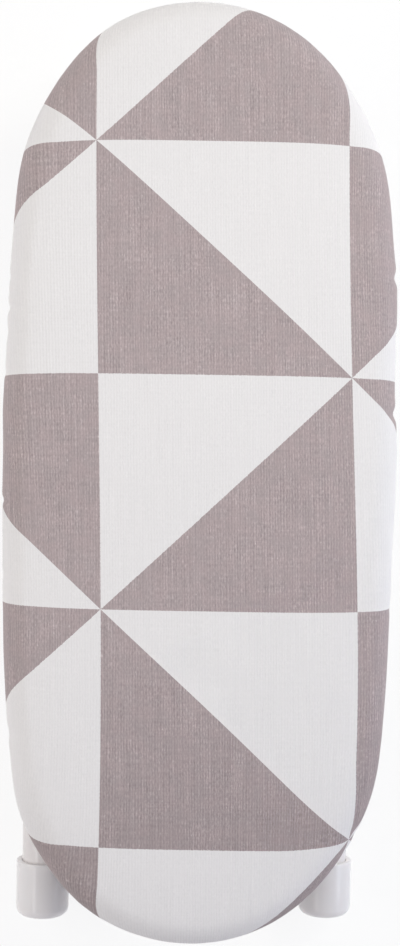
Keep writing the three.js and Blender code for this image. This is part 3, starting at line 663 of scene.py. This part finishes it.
tip = np.degrees(np.arcsin((NOTCH_TIP_Z - NOTCH_MIDDLE_Z) / NOTCH_RADIUS))
notches = [arc((y, NOTCH_MIDDLE_Z), NOTCH_RADIUS, 180 - tip, tip, 17) for y in notch_places]
rack_near = rounded([
    (slide_middle, RACK_TOP_Z, 0),
    (guide_near, RACK_TOP_Z, RACK_ROUNDING),
    (guide_near, RACK_BACK_Z, RACK_ROUNDING),
    (lane_near + RACK_GAP, RACK_BACK_Z, RACK_FILLET),
    (lane_near + RACK_GAP, RACK_LAND_Z, RACK_ROUNDING),
    (notches[0][0, 0], RACK_LAND_Z, 0),
], 5)[1:-1]
rack_contour = np.vstack([rack_near, *notches, mirrored(rack_near, slide_middle)])
keeper_near = [
    (guide_near, KEEPER_FOOT_Z, 0),
    (lane_near - KEEPER_WALL / 2, KEEPER_FOOT_Z, KEEPER_BEND),
    (lane_near - KEEPER_WALL / 2, KEEPER_LOW_Z, KEEPER_BEND),
]
keeper_contour = strip(rounded([*keeper_near, *mirrored(keeper_near, slide_middle)], 9), KEEPER_WALL)
for side, sign in SIDES:
    middle = sign * RACK_MIDDLE
    low, high = middle - RACK_HALF, middle + RACK_HALF
    rack, keeper = f"rack_{side}", f"keeper_{side}"
    drawn(f"comb_{side}", rack_contour, low, high, NYLON_EDGE, nylon, rack)
    drawn(f"keeper_strap_{side}", keeper_contour, low, high, SHEET_EDGE, zinc_steel, keeper)
    under = KEEPER_FOOT_Z - KEEPER_WALL / 2
    for end, way in ENDS:
        y = slide_middle + way * (slide_middle - lane_near + GUIDE_RIVET)
        rivet(f"keeper_rivet_{side}_{end}", middle, y, under, f"guide_rivet_{side}_{end}")


# FELT PAD
# A needle-felt slab of pale recycled fibre, cut to the board and laid loose on the deck. Its edge is
# pressed round by the cover drawn over it.
PAD_BOTTOM_Z = 72.55
PAD_TOP_Z = 79.55
PAD_GAP = 1.2
PAD_VERGE = 5.0
PAD_AROUND = 360
PAD_EDGE_STEPS = 12
PAD_SHARES = (0.95, 0.88, 0.8, 0.7, 0.55, 0.4, 0.2, 0.004)
PAD_THINNEST = 0.02
PAD_BOTTOM_SHARE = 0.97
RIM_Z = 65.75
EDGE_WIDTH = 12.0
CROWN = 0.8
HILLS = 0.14
SHOULDER = (4.6, 15.0)
NEAR_DROOP = (2.8, -105.0)
OUTLINE_STEPS = 40000
FELT = (206, 203, 199)
FELT_FLECK = (150, 146, 146)


def outline(count):
    """The board's outline at equal steps of its length, anticlockwise from +X: its points, its outward
    normals (the slope of x^2 / a^2 + |y / b|^fullness), the length run so far and the whole length."""
    turn = np.linspace(0, 2 * np.pi, OUTLINE_STEPS + 1)
    a, b = BOARD_HALF
    x, y = a * np.cos(turn), b * np.sign(np.sin(turn)) * np.abs(np.sin(turn)) ** (2 / END_FULLNESS)
    run = np.r_[0, np.cumsum(np.hypot(np.diff(x), np.diff(y)))]
    length = np.linspace(0, run[-1], count, endpoint=False)
    x, y = np.interp(length, run, x), np.interp(length, run, y)
    slope = END_FULLNESS * np.sign(y) * np.abs(y) ** (END_FULLNESS - 1) / b ** END_FULLNESS
    normal = unit(np.stack([2 * x / a ** 2, slope], -1))
    return np.stack([x, y], -1), normal, length, run[-1]


def crown(x, y):
    """How far the soft top stands above its level: a low dome with slow hills and hollows of the felt,
    less a shoulder that fades as exp(-inset / run) in from the outline, and a square-law droop at the
    near end."""
    a, b = BOARD_HALF
    level = 1 - (x / a) ** 2 - np.abs(y / b) ** END_FULLNESS
    slope = np.hypot(2 * x / a ** 2, END_FULLNESS * np.abs(y) ** (END_FULLNESS - 1) / b ** END_FULLNESS)
    inset = level / np.maximum(slope, 0.004)
    dome = np.clip(1 - (x / a) ** 2 - np.abs(y / b) ** 3, 0, 1)
    hills = np.sin(x / 31 + 0.6) * np.sin(y / 47 + 1.1) + 0.6 * np.sin(x / 19 - y / 26 + 2.0)
    shoulder = SHOULDER[0] * np.exp(-np.maximum(inset, 0) / SHOULDER[1])
    droop = NEAR_DROOP[0] * np.clip((NEAR_DROOP[1] - y) / (NEAR_DROOP[1] + b), 0, 1) ** 2
    return dome * (CROWN + HILLS * hills) - shoulder - droop


# The edge follows the cover's rounded edge from the pad's bottom up, and drawn-in rings make the top.
point, normal, _, _ = outline(PAD_AROUND)
fall = PAD_TOP_Z - RIM_Z
verge = point - PAD_VERGE * normal
bottom_share = (PAD_BOTTOM_Z - RIM_Z) / (fall + crown(verge[:, 0], verge[:, 1]))
lowest = np.arcsin(np.clip(bottom_share, 0, PAD_BOTTOM_SHARE))
sweep = lowest + np.linspace(0, 1, PAD_EDGE_STEPS)[:, None] * (np.pi / 2 - lowest)
rings = point + normal * (EDGE_WIDTH * (np.cos(sweep) - 1) - PAD_GAP * np.cos(sweep))[..., None]
share = np.array(PAD_SHARES)[:, None, None]
upper = np.concatenate([rings, rings[-1] * share])
rise = np.concatenate([np.sin(sweep), np.ones((len(share), PAD_AROUND))])
rise = rise * (fall + crown(upper[..., 0], upper[..., 1]))
height = np.maximum(RIM_Z + rise, PAD_BOTTOM_Z + PAD_THINNEST)
upper = np.concatenate([upper, height[..., None]], -1)
under = np.concatenate([rings[0] * share[::-1], np.full((len(share), PAD_AROUND, 1), PAD_BOTTOM_Z)], -1)

felt, place = finish("felt", Sheen_Weight=0.3, Sheen_Roughness=0.6)
fibres = place.noise(700.0, 5.0, 0.7)
tufts = place.noise(120.0, 3.0)
flecks = place.scaled(500.0, 900.0, 500.0).noise(1.0, 2.0).ramp(0.62, 0.7)
flecked = (0.5 * flecks).blend(tint(*FELT), tint(*FELT_FLECK))
wool = (0.86 + 0.2 * fibres + 0.1 * tufts).shaded(flecked)
wear_finish(felt, wool, 0.9 + 0.1 * tufts, fibres + 0.6 * tufts, 0.6, 0.0006)
pad = skin("felt_pad", np.concatenate([under, upper]), felt, "board", "pad", "fan")


# COVER
# A cotton cover with a linen-like weave, printed with white and taupe half-square triangles that meet in
# pinwheels. It is drawn tight over the pad, round the rim, and gathered under it by an elastic hem.
CLOTH = 0.9
COVER_TOP_Z = 80.75
COVER_AROUND = 740
RIM_INSET = 6.2
RETURN_Z = 60.0
HEM_INSET = 28.2
HEM_RADIUS = 2.25
HEM_Z = 57.75
HEM_TURN = 330
SEAM_Z = 59.05
SEAM_BEND = 0.8
SEAM_INSETS = (24.9, 20.0)
SEAM_START = (0.01, 0.02)
COTTON_WHITE = (240, 238, 237)
TAUPE_ROSE = (180, 165, 165)
TAUPE_GREY = (176, 163, 163)
TAUPE_PALE = (214, 206, 205)
THREAD_PITCH = (1.4, 0.75)
PRINT_CELL = (129.4, 118.9)
PRINT_UNIT = 100.36
# Rows of the print over which the taupe is darkened towards the near end, as painted shade.
NEAR_END_SHADE = (1.8, 3.5)
BACK_GHOST = 0.16

# Steps round the top of the edge, under it, back to the hem and round the hem, and the shares of the
# board's width at which the top has its rings.
TOP_STEPS = 15
LOW_STEPS = 9
RETURN_STEPS = 11
HEM_STEPS = 13
TOP_SHARES = np.r_[0.003, np.linspace(0.1, 0.7, 7), np.linspace(0.76, 0.98, 8)]

# Swellings of the stuffed edge (place along the outline, width, height) and its small pulled creases
# (place, width, depth). The shares say how strong creases and gathers are at steps of the section.
SWELLINGS = (
    (0, 30, 1.6), (18, 12, 0.6), (92, 28, 1.6), (158, 34, 2.6), (255, 40, -0.3), (345, 32, 1.5),
    (384, 24, 0.6), (421, 30, 2.7), (504, 18, -0.3), (552, 18, 1.0), (590, 26, 0.65), (660, 16, -0.3),
    (690, 18, -0.3), (759, 27, 3.2), (808, 30, 1.5), (1003, 32, 2.6), (1088, 25, -0.3),
)
CREASES = (
    (102, 4.2, 1.1), (70, 4.0, 0.6), (32, 4.2, 1.2), (486, 3.0, 0.4), (501.5, 3.2, 0.9), (514, 5.0, 0.4),
    (534, 3.5, 0.4), (599, 3.0, 0.8), (717, 5.0, 0.5), (982, 4.5, 0.5), (637, 4.0, 0.3), (1100, 4.5, 0.35),
)
CREASE_STEPS = [0, 5, 12, 18, 30]
CREASE_SHARES = [0.0, 0.35, 1.0, 1.0, 0.0]
GATHER_COUNT = 83
GATHER_STEPS = [8, 14, 22]
GATHER_SHARES = [0.0, 0.06, 0.2]
GATHER_LEAN = 0.5
HANG_STEP = 18
PRESS_HALF = 19.0
PRESS_FADE = 1.5


def round_gap(length, place, around):
    """Distance from a place on a closed line to each length along it, the shorter way round."""
    return (length[:, None] - place + around / 2) % around - around / 2


def bulge(length, around):
    """How far the stuffed edge stands out: each swelling is a bell curve along the outline."""
    place, width, height = np.array(SWELLINGS).T
    gap = round_gap(length, place, around) / width
    return (height * np.exp(-gap ** 2)).sum(1)


def pucker(length, around):
    """Depth of the pulled creases: each is a bell curve times a parabola, so that the notch has a raised
    lip on both sides."""
    place, width, depth = np.array(CREASES).T
    gap = round_gap(length, place, around) / width
    return (depth * (1 - 1.2 * gap ** 2) * np.exp(-gap ** 2)).sum(1)


def gather(length, around, point, bend):
    """Height of the elastic's gathers: uneven waves, deepest round the ends, where the cloth has most to
    spare, and pressed flat where a cross rail lies on them."""
    turn = 2 * np.pi * length / around
    stray = 1.6 * np.sin(3 * turn + 1) + 1.1 * np.sin(7 * turn + 2) + 0.8 * np.sin(13 * turn)
    waves = 0.5 + np.sin(GATHER_COUNT * turn + stray)
    uneven = 0.72 + 0.28 * np.sin(11 * turn + 0.7) * np.sin(5 * turn + 2.1)
    beside = np.abs(point[:, 1:] - np.array(rail_places)) - PRESS_HALF
    pressed = 1 / (1 + np.exp(beside / PRESS_FADE))
    return waves * uneven * (0.5 + 1.7 * bend) * (1 - pressed.max(1))


def slack(inset):
    """Share of the gathers' height at a distance in from the outline: most at the hem."""
    return np.interp(inset, [RIM_INSET, HEM_INSET], [GATHER_SHARES[-1], 1.0])


def print_place(flat):
    """Column and row of the print at places on the flat cloth: a straight lay, a little askew, bent by
    the pull of the cloth. The pull grows with powers of the distances from the middle, stays what it is
    past the edge of the top, and lifts the print at the near right corner."""
    x, y = flat[..., 0] / PRINT_UNIT, flat[..., 1] / PRINT_UNIT
    bent_x, bent_y = np.clip(x, -1.1, 1.1), np.clip(y, -2.55, 2.55)
    column = 0.402 + 0.773 * x + 0.019 * y
    column += bent_x ** 2 * (0.007 * bent_y ** 2 - 0.008 * bent_y ** 3 + 0.04 * bent_x ** 2 * bent_y)
    row = 1.417 - 0.841 * y + 0.008 * x * y
    row -= 0.004 * bent_y ** 2 + 0.024 * bent_x ** 4 * bent_y
    row += 0.22 * np.clip(bent_x - 0.4, 0, None) ** 2 * np.clip(-1.2 - bent_y, 0, None)
    return np.stack([column, row], -1)


# The section, as distance out from the outline and height: top edge, low edge, return, hem and seam.
half_cloth = CLOTH / 2
top_radii = (EDGE_WIDTH - half_cloth, COVER_TOP_Z - half_cloth - RIM_Z)
top_edge = arc((-EDGE_WIDTH, RIM_Z), top_radii, 90, 0, TOP_STEPS)
low_edge = arc((-RIM_INSET, RIM_Z), RIM_INSET - half_cloth, 0, -90, LOW_STEPS)[1:]
back_run = np.linspace((-RIM_INSET, RETURN_Z), (-HEM_INSET, RETURN_Z), RETURN_STEPS)[1:-1]
hem_roll = arc((-HEM_INSET, HEM_Z), HEM_RADIUS, 90, HEM_TURN, HEM_STEPS)
hem_seam = rounded([
    (*(hem_roll[-1] + SEAM_START), 0),
    (-SEAM_INSETS[0], SEAM_Z, SEAM_BEND),
    (-SEAM_INSETS[1], SEAM_Z, 0),
], 5)[1:]
section = np.vstack([top_edge, low_edge, back_run, hem_roll, hem_seam])
tangent = unit(np.gradient(section, axis=0))
run = np.r_[0, np.cumsum(np.linalg.norm(np.diff(section, axis=0), axis=1))]
step = np.arange(len(section))
last_low = TOP_STEPS + LOW_STEPS - 2
sweep = np.radians(np.r_[np.linspace(90, 0, TOP_STEPS), np.linspace(0, -90, LOW_STEPS)[1:]])
swell = np.r_[np.cos(sweep), np.zeros(len(section) - len(sweep))]
crease = np.interp(run, run[CREASE_STEPS], CREASE_SHARES)
ripple = np.interp(run, run[GATHER_STEPS], GATHER_SHARES)
ripple = np.where(step > last_low, slack(-section[:, 0]), ripple)

# The section carried round the outline, with swellings, creases and gathers.
point, normal, length, around = outline(COVER_AROUND)
heading = np.unwrap(np.arctan2(normal[:, 1], normal[:, 0]))
turning = np.gradient(np.r_[heading[-1] - 2 * np.pi, heading, heading[0] + 2 * np.pi])[1:-1]
bend = np.clip(turning / turning.max(), 0, 1)
notch = -crease[:, None] * pucker(length, around)
wave = ripple[:, None] * gather(length, around, point, bend)
lean = np.where(step < last_low, GATHER_LEAN, 0)[:, None] * wave
hang = np.where(step >= HANG_STEP, 1, 0)[:, None] * wave
out = section[:, :1] + swell[:, None] * bulge(length, around) - tangent[:, 1:] * (notch + lean)
lift = section[:, 1:] + tangent[:, :1] * notch + hang
edge_xy = point + normal * out[..., None]
top_xy = edge_xy[0] * TOP_SHARES[:, None, None]
xy = np.concatenate([top_xy, edge_xy])
height = np.concatenate([np.full((len(TOP_SHARES), COVER_AROUND), section[0, 1]), lift])
rise = crown(xy[..., 0], xy[..., 1]) * np.clip((height - RIM_Z) / (COVER_TOP_Z - RIM_Z), 0, 1)
rows = np.concatenate([xy, (height + rise)[..., None]], -1)
flat = np.concatenate([top_xy, edge_xy[0] + normal * run[:, None, None]])


def weave(wire, across, along):
    """Ribbed weave of uneven threads, from places in millimetres: that place, the weave's height, how light
    each thread is, and its knots. A rib runs along the board at every pitch, crossed by finer bars. Noise
    drawn out along or across adds threads that swell and thin, slubs and short dashes."""
    place = wire.node("CombineXYZ", None, {0: across, 1: along})
    wander = place.scaled(0.08, 0.015, 0).noise(1.0, 1.0)
    rib = wire.math("SINE", 2 * np.pi * (across / THREAD_PITCH[0] + 0.9 * wander))
    bar = wire.math("SINE", 2 * np.pi * (along / THREAD_PITCH[1] + 0.4 * wander))
    thread = place.scaled(0.72, 0.03, 0).noise(1.0, 2.0, 0.6) - 0.5
    slub = place.scaled(0.025, 0.75, 0).noise(1.0, 2.0, 0.6) - 0.5
    dash = place.scaled(1.7, 0.5, 0).noise(1.0, 2.0, 0.6) - 0.5
    fuzz = place.noise(2.6, 3.0, 0.7) - 0.5
    height = 0.5 * rib + 0.25 * bar + 0.2 * rib * bar + 0.8 * thread + 0.6 * slub + 1.4 * dash + 0.8 * fuzz
    patchy = 0.7 + 0.6 * place.noise(0.07, 2.0).ramp(0.3, 0.7)
    light = patchy * (0.55 * rib + 0.2 * bar + 2.9 * thread + 1.2 * slub + 5.6 * dash + 2.6 * fuzz)
    knot = place.scaled(0.9, 0.5, 0).noise(1.0, 1.0).ramp(0.69, 0.77)
    return place, height, light, knot


def printed(name, ghost):
    """The printed cloth. A place is taupe where the product of its two offsets from the nearest pinwheel
    and the difference of their sizes is positive. The dye is thin on light threads and knots. The taupe is
    darkened towards the near end as painted shade. ghost is how much of the print shows."""
    material, wire = finish(name, Sheen_Weight=0.12, Sheen_Roughness=0.5)
    u, v, _ = wire.node("UVMap", {"uv_map": "print"}).axes()
    place, height, light, knot = weave(wire, u * PRINT_CELL[0], v * PRINT_CELL[1])
    ragged = place.noise(1.4, 2.0) - 0.5
    u_offset = wire.math("WRAP", u + 0.005 * ragged, 1.0, -1.0)
    v_offset = wire.math("WRAP", v + 0.005 * ragged, 1.0, -1.0)
    ink = wire.math("GREATER_THAN", u_offset * v_offset * (abs(v_offset) - abs(u_offset)), 0.0)
    cloud = place.noise(0.05, 3.0)
    rosy = place.noise(0.11, 2.0).ramp(0.35, 0.65)
    dye = rosy.blend(tint(*TAUPE_GREY), tint(*TAUPE_ROSE))
    bare = 0.5 * knot + 0.25 * light.ramp(0.0, 2.6)
    # Painted shade: the taupe is darkened towards the near end of the board.
    depth = 0.14 * v.ramp(*NEAR_END_SHADE)
    taken = bare.blend(dye, tint(*TAUPE_PALE))
    taupe = (1 - depth + 0.13 * light + 0.08 * (cloud - 0.5)).shaded(taken)
    white = (1 + 0.026 * light + 0.02 * (cloud - 0.5)).shaded(tint(*COTTON_WHITE))
    colour = (ghost * ink).blend(white, taupe)
    wear_finish(material, colour, 0.86 + 0.06 * height, height, 0.3, 0.00025)
    return material


printed_cotton = printed("printed_cotton", 1.0)
cover = skin("cloth_cover", rows, printed_cotton, "board", "cover", "cup")
cover.data.materials.append(printed("cotton_back", BACK_GHOST))
lie = print_place(flat).reshape(-1, 2)
lie = np.vstack([lie, lie[:COVER_AROUND].mean(0)])
corner = np.zeros(len(cover.data.loops), int)
cover.data.loops.foreach_get("vertex_index", corner)
cover.data.uv_layers.new(name="print").data.foreach_set("uv", lie[corner].ravel())
walls = cover.modifiers.new("cloth_thickness", "SOLIDIFY")
walls.thickness = CLOTH / 1000
walls.offset = 0.0
walls.material_offset = 1
walls.material_offset_rim = 1


# HEM ELASTIC AND STITCHES
# A round braided elastic in the turned hem, and the row of white lockstitches that closes the hem
# round it. The elastic is hidden in the hem; the stitches show under the board.
ELASTIC_RADIUS = 1.5
ELASTIC_SIDES = 12
ELASTIC_WHITE = (228, 226, 222)
STITCH_INSET = 22.0
STITCH_LENGTH = 2.5
STITCH_PITCH = 3.3
STITCH_RADIUS = 0.32
STITCH_SIDES = 6
STITCH_BOW = (-0.8, 0.0, 0.5, 0.7, 0.5, 0.0, -0.8)
STITCH_THICK = (0.2, 0.8, 1.0, 1.0, 1.0, 0.8, 0.2)
SEAM_FINENESS = 4
THREAD_WHITE = (240, 239, 236)


def along_seam(places, run, values):
    """Values known at the steps of a closed line, whose run is given, at other places along it."""
    return np.interp(places, run, np.r_[values, values[:1]])


elastic_finish, place = finish("braided_elastic", Sheen_Weight=0.1)
braid = place.noise(1400.0, 2.0)
plain = (0.92 + 0.12 * braid).shaded(tint(*ELASTIC_WHITE))
wear_finish(elastic_finish, plain, 0.7 + 0.2 * braid, braid, 0.4, 0.0002)
ring = arc((-HEM_INSET, HEM_Z), ELASTIC_RADIUS, 0, 360, ELASTIC_SIDES + 1)[:-1]
hem_wave = gather(length, around, point, bend)
elastic_xy = point[:, None] + normal[:, None] * ring[:, :1]
elastic_rows = np.concatenate([elastic_xy, (ring[:, 1] + hem_wave[:, None])[..., None]], -1)
elastic = skin("hem_elastic_cord", elastic_rows, elastic_finish, "board", "hem_elastic", "loop")

# Each stitch is a thread that bows out of the cloth and thins at both ends, where it dives into it.
seam_point, seam_normal, seam_length, _ = outline(SEAM_FINENESS * COVER_AROUND)
seam_xy = seam_point - STITCH_INSET * seam_normal
seam_steps = np.linalg.norm(np.diff(seam_xy, axis=0, append=seam_xy[:1]), axis=1)
seam_run = np.r_[0, np.cumsum(seam_steps)]
seam_wave = np.interp(seam_length, length, hem_wave, period=around)
stitch_count = int(seam_run[-1] / STITCH_PITCH)
stitch_steps = len(STITCH_BOW)
stitch_line = np.linspace(-0.5, 0.5, stitch_steps) * STITCH_LENGTH
places = (np.arange(stitch_count)[:, None] * STITCH_PITCH + stitch_line) % seam_run[-1]
middle_x, middle_y = (along_seam(places, seam_run, seam_xy[:, i]) for i in (0, 1))
out_x, out_y = (along_seam(places, seam_run, seam_normal[:, i]) for i in (0, 1))
sink = along_seam(places, seam_run, seam_wave)
bow = STITCH_RADIUS * np.array(STITCH_BOW)
middle_z = SEAM_Z - half_cloth - bow + slack(STITCH_INSET) * sink
angle = np.linspace(0, 2 * np.pi, STITCH_SIDES, endpoint=False)
thick = STITCH_RADIUS * np.array(STITCH_THICK)[:, None]
stitch_points = np.stack([
    middle_x[..., None] + out_x[..., None] * thick * np.cos(angle),
    middle_y[..., None] + out_y[..., None] * thick * np.cos(angle),
    middle_z[..., None] + thick * np.sin(angle),
], -1).reshape(-1, 3)

thread, place = finish("stitch_thread", Sheen_Weight=0.2)
twist = place.noise(2500.0, 1.0)
plain = (0.9 + 0.15 * twist).shaded(tint(*THREAD_WHITE))
wear_finish(thread, plain, 0.6 + 0.2 * twist, twist, 0.3, 0.0001)
index = np.arange(len(stitch_points)).reshape(stitch_count, stitch_steps, STITCH_SIDES)
first, second = index[:, :-1], index[:, 1:]
quads = np.stack([first, np.roll(first, -1, 2), np.roll(second, -1, 2), second], -1).reshape(-1, 4)
tips = [*index[:, 0, ::-1].tolist(), *index[:, -1].tolist()]
stitches = made_piece("hem_stitches", stitch_points, quads.tolist() + tips, thread, "board")


# STUDIO
# A white floor in white surroundings, with a long soft lamp on each side, a narrow one above the far right
# and a small one at the near left for the gleam on the caps. The camera looks down on the board from above
# and a little to its left. It sees through most of the floor, which keeps a part of the shadows.
CAMERA_EYE = (-95.42, 0.015, 1095.75)
CAMERA_AIM = (-0.023, 0.015, 65.75)
CAMERA_ROLL = 0.95
CAMERA_LENS = 76.82
CAMERA_FILM = 36.0
CAMERA_FARTHEST = 50.0
FLOOR_HALF = 4000.0
FLOOR_Z = -0.3
FLOOR_WHITE = (0.97, 0.97, 0.97, 1.0)
FLOOR_GLOW = (0.14, 0.14, 0.14, 1.0)
FLOOR_CLEAR = 0.8
FLOOR_FADE = (400.0, 1300.0)
SKY_LIGHT = (0.98, 0.95, 1.03, 1.0)
SKY_STRENGTH = 0.36
BLACK = (0.0, 0.0, 0.0, 1.0)
WHITE = (1.0, 1.0, 1.0, 1.0)

camera = bpy.data.objects.new("camera", bpy.data.cameras.new("camera"))
camera.data.lens = CAMERA_LENS
camera.data.sensor_width = CAMERA_FILM
camera.data.clip_end = CAMERA_FARTHEST
view = (Vector(CAMERA_AIM) - Vector(CAMERA_EYE)).normalized()
right = view.cross(Vector((0, 1, 0))).normalized()
level = Matrix((right, right.cross(view), -view)).transposed()
turned_view = level @ Matrix.Rotation(np.radians(CAMERA_ROLL), 3, "Z")
camera.matrix_world = Matrix.Translation(Vector(CAMERA_EYE) / 1000) @ turned_view.to_4x4()
bpy.context.scene.collection.objects.link(camera)
bpy.context.scene.camera = camera


def seen_by_camera(wire):
    """1 for rays from the camera, straight or by way of gloss or glass, and 0 for rays that carry light."""
    rays = wire.node("LightPath").socket.node.outputs
    straight, gloss, glass = (
        Wire(wire.tree, rays[f"Is {kind} Ray"]) for kind in ("Camera", "Glossy", "Transmission")
    )
    return wire.math("MAXIMUM", wire.math("MAXIMUM", straight, gloss), glass)


floor_paint, place = finish(
    "floor_paint", Base_Color=FLOOR_WHITE, Roughness=1.0, Specular_IOR_Level=0.0, Emission_Strength=1.0,
)
tree = floor_paint.node_tree
paint = tree.nodes["Principled BSDF"]
seen = seen_by_camera(place)
tree.links.new(seen.blend(BLACK, FLOOR_GLOW).socket, paint.inputs["Emission Color"])

# To the camera the floor is mostly clear, more so far from the board, and wholly clear from below.
distance = place.node("VectorMath", {"operation": "LENGTH"}, {0: place}, "Value")
away = distance.ramp(FLOOR_FADE[0] / 1000, FLOOR_FADE[1] / 1000)
clear = place.node("BsdfTransparent")
clearness = (FLOOR_CLEAR + (1 - FLOOR_CLEAR) * away) * seen
shown = place.node("MixShader", None, {0: clearness, 1: Wire(tree, paint.outputs[0]), 2: clear})
behind = place.node("NewGeometry", None, None, "Backfacing")
shown = place.node("MixShader", None, {0: behind, 1: shown, 2: clear})
tree.links.new(shown.socket, tree.nodes["Material Output"].inputs["Surface"])
floor_paint.cycles.emission_sampling = "NONE"

corners = FLOOR_HALF * np.array([(-1, -1), (1, -1), (1, 1), (-1, 1)])
floor_points = np.column_stack([corners, np.full(4, FLOOR_Z)]) / 1000
floor_mesh = bpy.data.meshes.new("floor")
floor_mesh.from_pydata(floor_points.tolist(), [], [(0, 1, 2, 3)])
floor_mesh.materials.append(floor_paint)
floor = bpy.data.objects.new("floor", floor_mesh)
bpy.context.scene.collection.objects.link(floor)
floor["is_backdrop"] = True

world = bpy.data.worlds.new("surroundings")
world.use_nodes = True
bpy.context.scene.world = world
tree = world.node_tree
background = tree.nodes["Background"]
seen = seen_by_camera(Wire(tree))
tree.links.new(seen.blend(SKY_LIGHT, WHITE).socket, background.inputs["Color"])
tree.links.new((SKY_STRENGTH + (1 - SKY_STRENGTH) * seen).socket, background.inputs["Strength"])


def lamp(name, place, aim, size, power, colour, spread=180):
    """A soft lamp, length by width, at place and turned to aim, all in metres. spread is the angle of its
    beam in degrees."""
    light = bpy.data.lights.new(name, "AREA")
    light.shape = "RECTANGLE"
    light.size, light.size_y = size
    light.energy = power
    light.color = colour
    light.spread = np.radians(spread)
    made = bpy.data.objects.new(name, light)
    direction = Vector(aim) - Vector(place)
    turn = direction.to_track_quat("-Z", "Y").to_matrix().to_4x4()
    made.matrix_world = Matrix.Translation(place) @ turn
    bpy.context.scene.collection.objects.link(made)


lamp(
    "left_strip", place=(-1.25, 0.12, 0.82), aim=(0.0, 0.05, 0.07), size=(1.5, 0.45),
    power=8.0, colour=(1.0, 0.988, 0.93),
)
lamp(
    "right_strip", place=(1.25, 0.05, 0.8), aim=(0.0, 0.05, 0.07), size=(1.5, 0.45),
    power=8.35, colour=(0.79, 0.86, 1.0),
)
lamp(
    "far_lamp", place=(0.8, 0.85, 1.1), aim=(0.03, 0.15, 0.07), size=(0.5, 0.5),
    power=0.55, colour=(1.0, 0.98, 0.86), spread=40,
)
lamp(
    "gloss_lamp", place=(-1.0, -0.735, 1.15), aim=(0.0, -0.225, 0.014), size=(0.5, 0.3),
    power=1.3, colour=(1.0, 0.99, 0.98),
)
bpy.context.scene.view_settings.view_transform = "Standard"

low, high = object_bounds()
